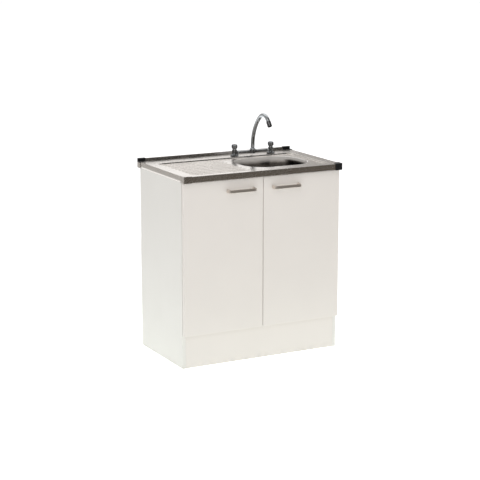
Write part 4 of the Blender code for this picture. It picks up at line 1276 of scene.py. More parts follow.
@dataclass
class PressedTop:
    """The sink top, pressed and folded from one steel sheet."""

    sheet: float = 0.001
    rim_height: float = 0.875
    guard: float = 0.0015
    skirt_drop: float = 0.028
    skirt_fold: float = 0.003
    hem_radius: float = 0.0011
    hem_rise: float = 0.007
    side_roll: float = 0.010
    side_lean: float = math.radians(22)
    fold_steps: int = 8
    rim_corner: float = 0.006
    rim_steps: int = 4
    upstand_height: float = 0.012
    upstand_depth: float = 0.010
    upstand_fold: float = 0.002
    side_border: float = 0.048
    front_border: float = 0.032
    ledge_depth: float = 0.105
    sunk_drop: float = 0.006
    sunk_slope: float = 0.008
    sunk_corner: float = 0.035
    bowl_width: float = 0.335
    bowl_breadth: float = 0.278
    bowl_drop: float = 0.150
    bowl_corner: float = 0.110
    bowl_corner_steps: int = 16
    bowl_side_points: int = 4
    bowl_lip: float = 0.006
    bowl_lip_steps: int = 8
    bowl_wall_steps: int = 5
    bowl_fillet: float = 0.030
    bowl_fillet_steps: int = 10
    bowl_draft: float = math.radians(4.6)
    bowl_from_right: float = 0.0755
    bowl_setback: float = 0.099
    floor_fall: float = 0.003
    floor_steps: int = 4
    seat_radius: float = 0.057
    seat_margin: float = 0.002
    seat_slope: float = 0.0015
    seat_drop: float = 0.003
    drain_hole: float = 0.045
    rib_pitch: float = 0.036
    rib_width: float = 0.014
    rib_foot: float = 0.0016
    rib_crest: float = 0.0016
    rib_rise: float = 0.003
    rib_steepness: float = 1.3
    rib_margin: float = 0.018
    rib_to_bowl: float = 0.034
    rib_end_steps: int = 6
    rib_end_share: float = 0.999
    tap_hole: float = 0.011
    tap_hole_points: int = 32
    cap_edge: float = 0.0006
    steps: int = 12
    left: float = field(init=False)
    right: float = field(init=False)
    front: float = field(init=False)
    back: float = field(init=False)

    @property
    def sunk_x(self) -> Flat:
        """The sunken area's left and right at the rim."""
        return self.left + self.side_border, self.right - self.side_border

    @property
    def sunk_y(self) -> Flat:
        """The sunken area's front and back at the rim."""
        return self.front + self.front_border, self.back - self.ledge_depth

    @property
    def sunk_height(self) -> float:
        """The height of the sunken area's floor."""
        return self.rim_height - self.sunk_drop

    @property
    def bowl_x(self) -> Flat:
        """The bowl's left and right."""
        right = self.right - self.bowl_from_right
        return right - self.bowl_width, right

    @property
    def bowl_y(self) -> Flat:
        """The bowl's front and back."""
        return self.front + self.bowl_setback, self.front + self.bowl_setback + self.bowl_breadth

    def build(self) -> None:
        """Presses the sheet, folds its edges and puts the caps on its corners."""
        room = Room.of("sink_top")
        self.left, self.right, self.front, self.back = room.low.x, room.high.x, room.low.y, room.high.y
        form = Form()
        rim, margin = (self._rim(form, inset) for inset in (0.0, self.guard))
        form.bridge(rim, margin)
        brink, floor = self._sunken(form)
        form.fill([margin, brink, *self._tap_holes(form)])
        form.fill([floor, self._bowl(form), *self._ribs(form)])
        self._folds(form, rim)
        form.thickened(self.sheet).piece("pressed_sink_top", Body.CABINET, TOP_STEEL, ["sink_top"])
        for node, finish in CAPS.items():
            dress_node(node, finish, self.cap_edge)

    def _rim(self, form: Form, inset: float) -> Loop:
        """Lays out the sheet before its folds.

        Args:
            form: The sheet.
            inset: How far the outline is moved in.

        Returns:
            The outline's loop.
        """
        x = (self.left + self.skirt_fold, self.right - self.skirt_fold)
        y = (self.front + self.skirt_fold, self.back - self.upstand_depth)
        return form.level(rounded(x, y, self.rim_corner, self.rim_steps, inset=inset), self.rim_height)

    def _sunken(self, form: Form) -> tuple[Loop, Loop]:
        """Presses the slope round the work area.

        Args:
            form: The sheet.

        Returns:
            The slope's upper and lower loops.
        """
        rows = [(-self.guard, 0.0)]
        rows += [(self.sunk_slope * step / self.steps, self.sunk_drop * eased(step, self.steps))
                 for step in range(self.steps + 1)]
        rows.append((self.sunk_slope + self.guard, self.sunk_drop))
        loops = []
        for inset, drop in rows:
            outline = rounded(self.sunk_x, self.sunk_y, self.sunk_corner, self.steps, inset=inset)
            loops.append(form.level(outline, self.rim_height - drop))
        form.loft(loops)
        return loops[0], loops[-1]

    def _tap_holes(self, form: Form) -> list[Loop]:
        """Cuts the two holes for the tap's shanks.

        Args:
            form: The sheet.

        Returns:
            Their loops.
        """
        rooms = [Room.of(f"tap_washer_{supply.word}") for supply in Supply]
        return [form.level(disc(self.tap_hole, self.tap_hole_points, (room.x, room.y)), self.rim_height)
                for room in rooms]

    def _bowl(self, form: Form) -> Loop:
        """Draws the bowl, its floor and the seat of the waste.

        Args:
            form: The sheet.

        Returns:
            The loop round the bowl's mouth.
        """
        rows = self._bowl_rows()
        loops = [form.level(self._bowl_outline(inset), self.sunk_height - drop) for inset, drop in rows]
        floor = self.sunk_height - self.bowl_drop
        outer = self.seat_radius + self.seat_margin
        edge = [Vector(point) for point in self._bowl_outline(rows[-1][0])]
        seat = [Vector(point) for point in self._drain_ring(outer)]
        for step in range(1, self.floor_steps + 1):
            share = step / self.floor_steps
            points = [tuple(first.lerp(second, share)) for first, second in zip(edge, seat)]
            loops.append(form.level(points, floor - self.floor_fall * share))
        lip = filleted([(outer, 0, 0), (self.seat_radius, 0, 0.0012),
                        (self.seat_radius - self.seat_slope, -self.seat_drop, 0.0012),
                        (self.drain_hole, -self.seat_drop, 0)])
        loops += [form.level(self._drain_ring(radius), floor - self.floor_fall + up) for radius, up in lip[1:]]
        form.loft(loops)
        return loops[0]

    def _bowl_outline(self, inset: float) -> Line:
        """The bowl's outline, moved in by inset."""
        return rounded(self.bowl_x, self.bowl_y, self.bowl_corner, self.bowl_corner_steps,
                       self.bowl_side_points, inset)

    def _drain_ring(self, radius: float) -> Line:
        """Lays a circle round the drain whose points face the bowl's.

        Args:
            radius: The circle's radius.

        Returns:
            Its points.
        """
        x, y = sum(self.bowl_x) / 2, sum(self.bowl_y) / 2
        angles = [math.atan2(b - y, a - x) for a, b in self._bowl_outline(0.0)]
        return [(x + radius * math.cos(angle), y + radius * math.sin(angle)) for angle in angles]

    def _bowl_rows(self) -> Line:
        """Works out the bowl's section.

        Returns:
            Insets and drops over the lip, down the wall and round the floor's edge.
        """
        steep = math.pi / 2 - self.bowl_draft
        rows = [(-self.guard, 0.0)]
        for step in range(self.bowl_lip_steps + 1):
            angle = steep * step / self.bowl_lip_steps
            rows.append((self.bowl_lip * math.sin(angle), self.bowl_lip * (1 - math.cos(angle))))
        inset, drop = rows[-1]
        wall = self.bowl_drop - (self.bowl_lip + self.bowl_fillet) * (1 - math.cos(steep))
        for step in range(1, self.bowl_wall_steps + 1):
            down = wall * step / self.bowl_wall_steps
            rows.append((inset + down * math.tan(self.bowl_draft), drop + down))
        inset, drop = rows[-1]
        for step in range(1, self.bowl_fillet_steps + 1):
            angle = steep * (1 - step / self.bowl_fillet_steps)
            rows.append((inset + self.bowl_fillet * (math.sin(steep) - math.sin(angle)),
                         drop + self.bowl_fillet * (math.cos(angle) - math.cos(steep))))
        return rows

    def _ribs(self, form: Form) -> list[Loop]:
        """Presses the drainer's ribs.

        Args:
            form: The sheet.

        Returns:
            The loops round their feet.
        """
        edge = self.sunk_slope + self.rib_margin
        x = (self.sunk_x[0] + edge, self.bowl_x[0] - self.rib_to_bowl)
        start = self.sunk_y[0] + edge + self.rib_width / 2
        end = self.sunk_y[1] - edge - self.rib_width / 2
        count = int((end - start) / self.rib_pitch) + 1
        first = (start + end - (count - 1) * self.rib_pitch) / 2
        widest = self.rib_width / 2 + self.rib_foot
        feet = []
        for index in range(count):
            y = first + index * self.rib_pitch
            loops = []
            for step in range(self.steps + 1):
                half = widest + (self.rib_crest / 2 - widest) * step / self.steps
                rise = self.rib_rise * eased(min(self.rib_steepness * step, self.steps), self.steps)
                trim = self.rib_width / 2 - half
                outline = rounded((x[0] + trim, x[1] - trim), (y - half, y + half),
                                  half * self.rib_end_share, self.rib_end_steps)
                loops.append(form.level(outline, self.sunk_height + rise))
            form.loft(loops)
            form.mesh.faces.new(loops[-1])
            feet.append(loops[0])
        return feet

    def _folds(self, form: Form, rim: Loop) -> None:
        """Folds the skirts down on three sides and the upstand up along the back.

        Args:
            form: The sheet.
            rim: The loop that they start from.
        """
        fold, foot = self.skirt_fold, self.hem_radius - self.skirt_drop
        skirt = filleted([(0, 0, 0), (fold, 0, fold), (fold, foot, 0)])[1:] + self._hem(fold)
        flank = filleted([(0, 0, 0), (fold, 0, fold), (fold, self.side_roll - self.skirt_drop, 0)])[1:]
        flank += self._roll(fold)
        tight, tall, deep = self.upstand_fold, self.upstand_height, self.upstand_depth
        upstand = filleted([(0, 0, 0), (tight, 0, tight), (tight, tall, tight), (deep, tall, tight),
                            (deep, foot, 0)])[1:] + self._hem(deep)
        sides = ((Vector((1, 0, 0)), flank), (Vector((0, 1, 0)), upstand),
                 (Vector((-1, 0, 0)), flank), (Vector((0, -1, 0)), skirt))
        corner = len(rim) // len(sides)
        for index, (outward, profile) in enumerate(sides):
            pair = (rim[(index + 1) * corner - 1], rim[(index + 1) * corner % len(rim)])
            last = pair
            for out, up in profile:
                step = [form.mesh.verts.new(vert.co + outward * out + Vector((0, 0, up))) for vert in pair]
                form.mesh.faces.new((last[0], last[1], step[1], step[0]))
                last = step

    def _roll(self, out: float) -> Line:
        """Rolls a side skirt's foot in to the panel.

        Args:
            out: How far out the skirt hangs.

        Returns:
            The foot's points, out and up from the rim.
        """
        radius = self.side_roll / math.sin(self.side_lean)
        low = self.side_roll - self.skirt_drop
        angles = [self.side_lean * step / self.fold_steps for step in range(1, self.fold_steps + 1)]
        return [(out - radius * (1 - math.cos(angle)), low - radius * math.sin(angle)) for angle in angles]

    def _hem(self, out: float) -> Line:
        """Turns in the hem at a skirt's foot.

        Args:
            out: How far out the skirt hangs.

        Returns:
            The hem's points, out and up from the rim.
        """
        radius, low = self.hem_radius, self.hem_radius - self.skirt_drop
        angles = [math.pi * step / self.fold_steps for step in range(1, self.fold_steps + 1)]
        turn = [(out - radius * (1 - math.cos(angle)), low - radius * math.sin(angle)) for angle in angles]
        return turn + [(out - 2 * radius, low + self.hem_rise)]


@dataclass
class Door:
    """One door with its bow handle and cup hinges."""

    side: Side
    bar: float = 0.009
    bar_height: float = 0.0142
    bar_round: float = 0.0024
    bar_round_steps: int = 5
    bend: float = 0.010
    bend_steps: int = 12
    bolt_radius: float = 0.0045
    bolt_height: float = 0.0022
    screw_radius: float = 0.0034
    screw_height: float = 0.0016
    ear_inset: float = 0.0075
    ear_screw: float = 0.0205
    ear_turn: float = 0.5
    wing_screw: float = 0.019
    wing_turn: float = 0.9
    arm_screws: Flat = (0.42, 0.82)
    arm_screw_share: float = 0.7
    hinge_edge: float = 0.0005

    def build(self) -> None:
        """Dresses the door, bends its handle and drives the screws."""
        dress_node(f"door_{self.side.word}", DOOR_WHITE)
        self._handle()
        for level in Level:
            self._hinge(f"{self.side.word}_{level.value}")

    def _handle(self) -> None:
        """A bar with both ends bent back to the door, and its bolts inside."""
        word, sign = self.side.word, self.side.sign
        room = Room.of(f"handle_{word}")
        half, tall = self.bar / 2, self.bar_height / 2
        near, far = sorted((abs(room.low.x), abs(room.high.x)))
        near, far = near + half, far - half
        front, back = room.low.y + half, room.high.y
        line = filleted([(near, back, 0), (near, front, self.bend), (far, front, self.bend), (far, back, 0)],
                        self.bend_steps)
        path = [Vector((sign * x, y, room.z)) for x, y in line]
        section = rounded((-half, half), (-tall, tall), self.bar_round, self.bar_round_steps)
        Form().swept(path, section, Vector((0, 0, 1))).piece(
            f"bow_handle_{word}", self.side.body, HANDLE_SATIN, [f"handle_{word}"])
        inside = Room.of(f"door_{word}").high.y
        form = Form()
        for x in (near, far):
            form.place = Way.BACK.at(sign * x, inside, room.z)
            form.screw(self.bolt_radius, self.bolt_height, x)
        form.piece(f"handle_bolts_{word}", self.side.body, ZINC)

    def _hinge(self, name: str) -> None:
        """Dresses a cup hinge and drives its screws.

        Args:
            name: The hinge's side and level.
        """
        for part, edge in (("cup", 0.0), ("arm", self.hinge_edge), ("plate", self.hinge_edge)):
            dress_node(f"hinge_{part}_{name}", ZINC, edge)
        cup, arm, plate = (Room.of(f"hinge_{part}_{name}") for part in ("cup", "arm", "plate"))
        ears = cup.inner(self.side) + self.side.sign * self.ear_inset
        form = Form()
        for step in (-1, 1):
            form.place = Way.BACK.at(ears, cup.high.y, cup.z + step * self.ear_screw)
            form.screw(self.screw_radius, self.screw_height, self.ear_turn + step)
        form.piece(f"cup_screws_{name}", self.side.body, ZINC)
        inward = Way.LEFT if self.side is Side.RIGHT else Way.RIGHT
        form = Form()
        for step in (-1, 1):
            form.place = inward.at(plate.inner(self.side), plate.y, cup.z + step * self.wing_screw)
            form.screw(self.screw_radius, self.screw_height, self.wing_turn * step)
        for share in self.arm_screws:
            form.place = inward.at(arm.inner(self.side), arm.low.y + arm.deep * share, cup.z)
            form.screw(self.screw_radius, self.screw_height * self.arm_screw_share, share)
        form.piece(f"arm_screws_{name}", Body.CABINET, ZINC)


@dataclass
class BridgeTap:
    """The mixer: pillars, bridge, valves, knobs and swan-neck spout."""

    flange: float = 0.020
    flange_tall: float = 0.0025
    cove_out: float = 0.003
    cove_up: float = 0.0024
    pillar: float = 0.0125
    pillar_tall: float = 0.026
    flare: float = 0.006
    shank: float = 0.0095
    shank_clear: float = 0.0004
    thread: float = 0.0004
    thread_pitch: float = 0.002
    bridge: float = 0.0075
    bridge_up: float = 0.0125
    cuff: float = 0.0018
    cuff_from: float = 0.020
    cuff_to: float = 0.0145
    boss: float = 0.0145
    boss_up: float = 0.0205
    boss_foot: float = 0.0035
    boss_bevel: float = 0.004
    socket: float = 0.0084
    socket_deep: float = 0.010
    clear: float = 0.0003
    nut_flats: float = 0.94
    bonnet_tall: float = 0.005
    stem: float = 0.005
    knob_hole: float = 0.0054
    knob_hole_deep: float = 0.0144
    knob_shape: tuple[Corner, ...] = ((0.62, 0.0, 0.001), (0.90, 0.14, 0.003), (1.0, 0.34, 0.005),
                                      (1.0, 0.70, 0.005), (0.90, 0.90, 0.004), (0.66, 1.0, 0.0025))
    knob_grip: float = 0.75
    knob_lobes: int = 8
    knob_hollow: float = 0.0013
    knob_points: int = 96
    button_well: Flat = (0.0081, 0.0079)
    button_sunk: float = 0.0006
    button_top: float = 0.75
    mark_foot: Flat = (0.42, 0.58)
    mark_crest: Flat = (0.45, 0.55)
    mark_tall: float = 0.0002
    tube: float = 0.008
    tube_wide: float = 0.0096
    tube_points: int = 40
    tube_crease: float = 40.0
    swell: float = 0.004
    swell_steps: int = 6
    rise: float = 0.017
    sweep_radius: float = 0.182
    sweep: float = math.radians(55)
    sweep_steps: int = 30
    crook_radius: float = 0.054
    crook: float = math.radians(89)
    crook_steps: int = 24
    tip: float = 0.012
    tip_neck: Flat = (0.0006, 0.0001)
    nozzle: float = 0.011
    nozzle_long: float = 0.026
    nozzle_lap: float = 0.010
    nozzle_taper: Flat = (0.0004, 0.006)
    nozzle_mouth: float = 0.0085
    nozzle_deep: float = 0.006
    groove: float = 0.0006
    groove_up: float = 0.0075
    groove_step: float = 0.0005
    screen_rings: int = 5
    screen_step: float = 0.0007
    screen_clear: float = 0.0002
    screen_crest: float = 0.0025
    screen_hollow: float = 0.0038
    screen_middle: float = 0.0045
    screen_back: float = 0.0055
    collar_bevel: Flat = (0.003, 0.002)
    round: int = 64
    small_round: int = 48
    y: float = field(init=False)
    middle: float = field(init=False)
    base: float = field(init=False)
    foot: float = field(init=False)
    valves: dict[Supply, float] = field(init=False)

    def build(self) -> None:
        """Makes the body, the valves and the spout."""
        room = Room.of("tap_body")
        self.y, self.middle, self.base = room.y, room.x, room.high.z - self.pillar_tall
        self.foot = room.low.z - self.base
        self.valves = {Supply.HOT: room.low.x + self.flange, Supply.COLD: room.high.x - self.flange}
        self._body()
        for supply in Supply:
            self._valve(supply)
            self._knob(supply)
        self._spout()

    def _pillar(self) -> Line:
        """Works out a pillar's profile.

        Returns:
            Radii and heights from the foot of the threaded shank to the valve seat.
        """
        points = [(0.0, self.foot)]
        turns = int(-self.foot / self.thread_pitch) - 1
        for turn in range(turns):
            low = self.foot + turn * self.thread_pitch
            points += [(self.shank - self.thread, low), (self.shank, low + self.thread_pitch / 2)]
        return points + filleted([
            (self.shank, self.foot + turns * self.thread_pitch, 0), (self.shank, 0, 0),
            (self.flange, 0, 0.0004), (self.flange, self.flange_tall, 0.0012),
            (self.pillar + self.cove_out, self.flange_tall + self.cove_up, 0.003),
            (self.pillar, self.flange_tall + self.flare, 0.004),
            (self.pillar, self.pillar_tall, 0.0012), (0, self.pillar_tall, 0)], 6)

    def _body(self) -> None:
        """The casting: two pillars, the bridge between them and the spout's boss."""
        span = (self.valves[Supply.COLD] - self.valves[Supply.HOT]) / 2
        cuff = self.bridge + self.cuff
        right = filleted([(self.bridge, 0, 0), (self.bridge, span - self.cuff_from, 0.004),
                          (cuff, span - self.cuff_to, 0.003), (cuff, span, 0)], 6)
        left = [(radius, -along) for radius, along in reversed(right)]
        hub = filleted([(0, self.boss_foot, 0), (self.boss - self.boss_bevel, self.boss_foot, 0.002),
                        (self.boss, self.boss_foot + self.boss_bevel, 0.003), (self.boss, self.boss_up, 0.001),
                        (0, self.boss_up, 0)])
        low, high = self.boss_up - self.socket_deep, self.boss_up + self.socket_deep
        well = [(0, low), (self.socket, low), (self.socket, high), (0, high)]
        solids = [(Join.ADD, x, self._pillar()) for x in self.valves.values()]
        solids += [(Join.ADD, self.middle, hub), (Join.CUT, self.middle, well)]
        tools = [(join, Form(Way.UP.at(x, self.y, self.base)).turned(line, self.round))
                 for join, x, line in solids]
        across = Form(Way.RIGHT.at(self.middle, self.y, self.base + self.bridge_up))
        across.turned([(0.0, -span), *left, *right[1:], (0.0, span)], self.small_round).combined(tools).piece(
            "tap_casting", Body.CABINET, CASTING, ["tap_body"])

    def _valve(self, supply: Supply) -> None:
        """Makes the washer, backnut and bonnet of one valve.

        Args:
            supply: The valve.
        """
        word, place = supply.word, Way.UP.at(self.valves[supply], self.y, 0)
        bore = self.shank + self.shank_clear
        room = Room.of(f"tap_washer_{word}")
        washer = flat_ring(bore, room.radius, room.low.z, room.high.z, 0.0004)
        Form(place).turned(washer, self.round).piece(
            f"tap_seal_{word}", Body.CABINET, RUBBER, [f"tap_washer_{word}"])
        room = Room.of(f"tap_backnut_{word}")
        nut = flat_ring(bore, room.radius, room.low.z, room.high.z, 0.0012, 3)
        sides = flats(room.radius, self.nut_flats, range(1, len(nut) - 1))
        Form(place).turned(nut, self.small_round, sides).piece(
            f"tap_hexnut_{word}", Body.CABINET, BRASS, [f"tap_backnut_{word}"])
        room = Room.of(f"tap_bonnet_{word}")
        low, high, step = room.low.z, room.high.z, room.low.z + self.bonnet_tall
        bonnet = filleted([(0, low, 0), (room.radius, low, 0.0004), (room.radius, step, 0.0012),
                           (self.stem, step, 0), (self.stem, high, 0.0005), (0, high, 0)])
        Form(place).turned(bonnet, self.small_round).piece(
            f"valve_bonnet_{word}", Body.CABINET, NECK, [f"tap_bonnet_{word}"])

    def _knob(self, supply: Supply) -> None:
        """Makes a scalloped knob with a domed button and its coloured mark.

        Args:
            supply: The valve.
        """
        word, x = supply.word, self.valves[supply]
        room = Room.of(f"tap_knob_{word}")
        grip, tall = room.radius, room.tall
        outer, inner = self.button_well
        skin = [(grip * out, tall * up, radius) for out, up, radius in self.knob_shape]
        line = [(0.0, self.knob_hole_deep), (self.knob_hole, self.knob_hole_deep)] + filleted(
            [(self.knob_hole, 0, 0), *skin, (outer, tall, 0.0003), (inner, tall - self.button_sunk, 0),
             (0, tall - self.button_sunk, 0)], 6)
        grips = [row for row, (radius, _) in enumerate(line) if radius > grip * self.knob_grip]
        wave = lobes(self.knob_lobes, self.knob_hollow, grips)
        Form(Way.UP.at(x, self.y, room.low.z)).turned(line, self.knob_points, wave).piece(
            f"scalloped_knob_{word}", supply.body, KNOB, [f"tap_knob_{word}"])
        room = Room.of(f"tap_index_{word}")
        wide, top, place = room.radius, room.tall, Way.UP.at(x, self.y, room.low.z)
        button = filleted([(0, 0, 0), (wide, 0, 0), (wide, top / 2, 0.0004),
                           (wide * self.button_top, top, 0.001), (0, top, 0)])
        Form(place).turned(button, self.small_round).piece(
            f"knob_button_{word}", supply.body, CHROME, [f"tap_index_{word}"])
        foot = [(wide * share, top) for share in self.mark_foot]
        crest = [(wide * share, top + self.mark_tall) for share in reversed(self.mark_crest)]
        Form(place).turned(foot + crest, self.small_round).piece(
            f"knob_mark_{word}", supply.body, MARKS[supply])

    def _line(self, collar: float) -> tuple[list[Corner], float]:
        """Lays the tube's line, which is thin in its socket and its nozzle.

        Args:
            collar: The height of the collar's top over the boss.

        Returns:
            Points forward and up with the tube's radius there, and the angle of its end.
        """
        thin, wide = self.tube, self.tube_wide
        points = [(0.0, self.clear - self.socket_deep, thin)]
        for step in range(self.swell_steps + 1):
            radius = thin + (wide - thin) * eased(step, self.swell_steps)
            points.append((0.0, collar + self.swell * step / self.swell_steps, radius))
        points.append((0.0, self.rise, wide))
        for step in range(1, self.sweep_steps + 1):
            angle = self.sweep * step / self.sweep_steps
            points.append((self.sweep_radius * (1 - math.cos(angle)),
                           self.rise + self.sweep_radius * math.sin(angle), wide))
        ahead, up, _ = points[-1]
        for step in range(1, self.crook_steps + 1):
            angle = self.sweep + self.crook * step / self.crook_steps
            points.append((ahead + self.crook_radius * (math.cos(self.sweep) - math.cos(angle)),
                           up + self.crook_radius * (math.sin(angle) - math.sin(self.sweep)), wide))
        ahead, up, _ = points[-1]
        bare = self.tip - self.nozzle_lap
        before, after = self.tip_neck
        for reach, radius in ((bare - before, wide), (bare - after, thin), (self.tip, thin)):
            points.append((ahead + reach * math.sin(angle), up + reach * math.cos(angle), radius))
        return points, angle

    def _spout(self) -> None:
        """The swan neck, its nozzle, the aerator in it and the nut at its foot."""
        room = Room.of("spout_nut")
        top = self.base + self.boss_up
        points, angle = self._line(room.high.z + self.clear - top)
        path = [Vector((self.middle, self.y - ahead, top + up)) for ahead, up, _ in points]
        sizes = [radius for _, _, radius in points]
        Form().swept(path, disc(1.0, self.tube_points), Vector((1, 0, 0)), sizes).piece(
            "swan_neck", Body.SPOUT, CHROME, ["spout"], self.tube_crease)
        place = Matrix.Translation(path[-1]) @ Matrix.Rotation(angle, 4, "X")
        Form(place).turned(self._nozzle(), self.round).piece("spout_end", Body.SPOUT, NOZZLE, ["spout_nozzle"])
        Form(place).turned(self._screen(), self.small_round).piece("aerator", Body.SPOUT, CAP_BLACK)
        wide, low, high = room.radius, room.low.z, room.high.z
        out, down = self.collar_bevel
        nut = filleted([(self.socket, low, 0), (wide, low, 0.0006), (wide, high - down, 0.0014),
                        (wide - out, high, 0.001), (self.socket, high, 0)])
        Form(Way.UP.at(self.middle, self.y, 0)).turned(nut, self.round).piece(
            "spout_collar", Body.CABINET, CHROME, ["spout_nut"])

    def _nozzle(self) -> Line:
        """Works out the nozzle's profile.

        Returns:
            Radii, and heights along the tube's end from its tip.
        """
        lap, end = -self.nozzle_lap, self.nozzle_long - self.nozzle_lap
        wide, mouth, hole = self.nozzle, self.nozzle_mouth, self.tube + self.clear
        less, along = self.nozzle_taper
        waist, groove, step = wide - self.groove, end - self.groove_up, self.groove_step
        return filleted([(0, self.clear, 0), (hole, self.clear, 0), (hole, lap, 0), (wide - less, lap, 0.001),
                         (wide, lap + along, 0.002), (wide, groove - 3 * step, 0.0008),
                         (waist, groove - 2 * step, 0.0002), (waist, groove - step, 0.0002),
                         (wide, groove, 0.0006), (wide, end, 0.001), (mouth, end, 0.0004),
                         (mouth, end - self.nozzle_deep, 0), (0, end - self.nozzle_deep, 0)])

    def _screen(self) -> Line:
        """Works out the aerator's profile, with a ring for each step of its screen.

        Returns:
            Radii, and heights along the tube's end from its tip.
        """
        end, rings = self.nozzle_long - self.nozzle_lap, self.screen_rings
        points = [(0.0, end - self.screen_middle)]
        for step in range(rings):
            reach = (self.nozzle_mouth - self.clear) * (step + 0.5) / rings
            points += [(reach, end - self.screen_crest), (reach + self.screen_step, end - self.screen_hollow)]
        rim = self.nozzle_mouth - self.screen_clear
        return points + [(rim, end - self.screen_crest), (rim, end - self.screen_back),
                         (0.0, end - self.screen_back)]


@dataclass
class BasketWaste:
    """The steel waste in the bowl, with its lift-out strainer and clamping nut."""

    rim: float = 0.0555
    rim_tall: float = 0.0012
    rim_bevel: float = 0.0015
    wall: float = 0.0012
    cup: float = 0.0425
    outlet: float = 0.019
    clear: float = 0.0003
    nut_ribs: int = 18
    nut_grip: float = 0.0022
    nut_round: int = 144
    basket_wall: float = 0.001
    basket_curve: float = 0.005
    stem: float = 0.004
    knob: float = 0.008
    knob_tall: float = 0.008
    knob_drop: float = 0.002
    knob_waist: float = 0.55
    hole: float = 0.0019
    hole_points: int = 12
    hole_rows: tuple[tuple[float, int], ...] = ((0.0125, 8), (0.0205, 14), (0.0285, 20))
    hole_past: float = 0.001
    round: int = 72
    place: Matrix = field(init=False)

    def build(self) -> None:
        """Makes the cup, the seal, the nut and the strainer."""
        room = Room.of("waste_cup")
        self.place = Way.UP.at(room.x, room.y, 0)
        self._cup(room)
        bore = self.cup + self.clear
        for node, name, finish, ribs in (("waste_gasket", "waste_seal", RUBBER, 0),
                                         ("waste_nut", "waste_ring", TRAP_WHITE, self.nut_ribs)):
            room = Room.of(node)
            line = flat_ring(bore, room.radius, room.low.z, room.high.z, 0.0008)
            wave = lobes(ribs, self.nut_grip, range(1, len(line) - 1)) if ribs else None
            Form(self.place).turned(line, self.nut_round, wave).piece(name, Body.CABINET, finish, [node])
        self._strainer()

    def _cup(self, room: Room) -> None:
        """Makes the cup with its rim.

        Args:
            room: The cup's room.
        """
        inner, foot, top = self.cup - self.wall, room.low.z, room.high.z
        seat = top - self.rim_tall
        line = filleted([(self.outlet, foot + self.wall, 0), (inner, foot + self.wall, 0.004),
                         (inner, top, 0.0015), (self.rim - self.rim_bevel, top, 0.0008), (self.rim, seat, 0),
                         (self.cup, seat, 0), (self.cup, foot, 0.004), (self.outlet, foot, 0)])
        Form(self.place).turned(line, self.round).piece("waste_body", Body.CABINET, WASTE_STEEL, ["waste_cup"])

    def _strainer(self) -> None:
        """A pierced basket with a pull knob."""
        room = Room.of("strainer_basket")
        outer, foot, brim = room.radius, room.low.z, room.high.z
        inner, floor, top = outer - self.basket_wall, foot + self.basket_wall, brim - self.knob_drop
        neck, waist = top - self.knob_tall, top - self.knob_tall * self.knob_waist
        line = filleted([(0, foot, 0), (outer, foot, self.basket_curve), (outer, brim, 0.0004),
                         (inner, brim, 0.0004), (inner, floor, self.basket_curve - self.basket_wall),
                         (self.stem, floor, 0.0015), (self.stem, neck, 0.002), (self.knob, waist, 0.002),
                         (self.knob, top, 0.0025), (0, top, 0)], 6)
        holes = Form(self.place)
        for radius, count in self.hole_rows:
            for centre in disc(radius, count):
                ring = disc(self.hole, self.hole_points, centre)
                ends = (foot - self.hole_past, floor + self.hole_past)
                holes.loft([holes.level(ring, height) for height in ends], capped=True)
        Form(self.place).turned(line, self.round).combined([(Join.CUT, holes)]).piece(
            "pierced_strainer", Body.STRAINER, WASTE_STEEL, ["strainer_basket"])


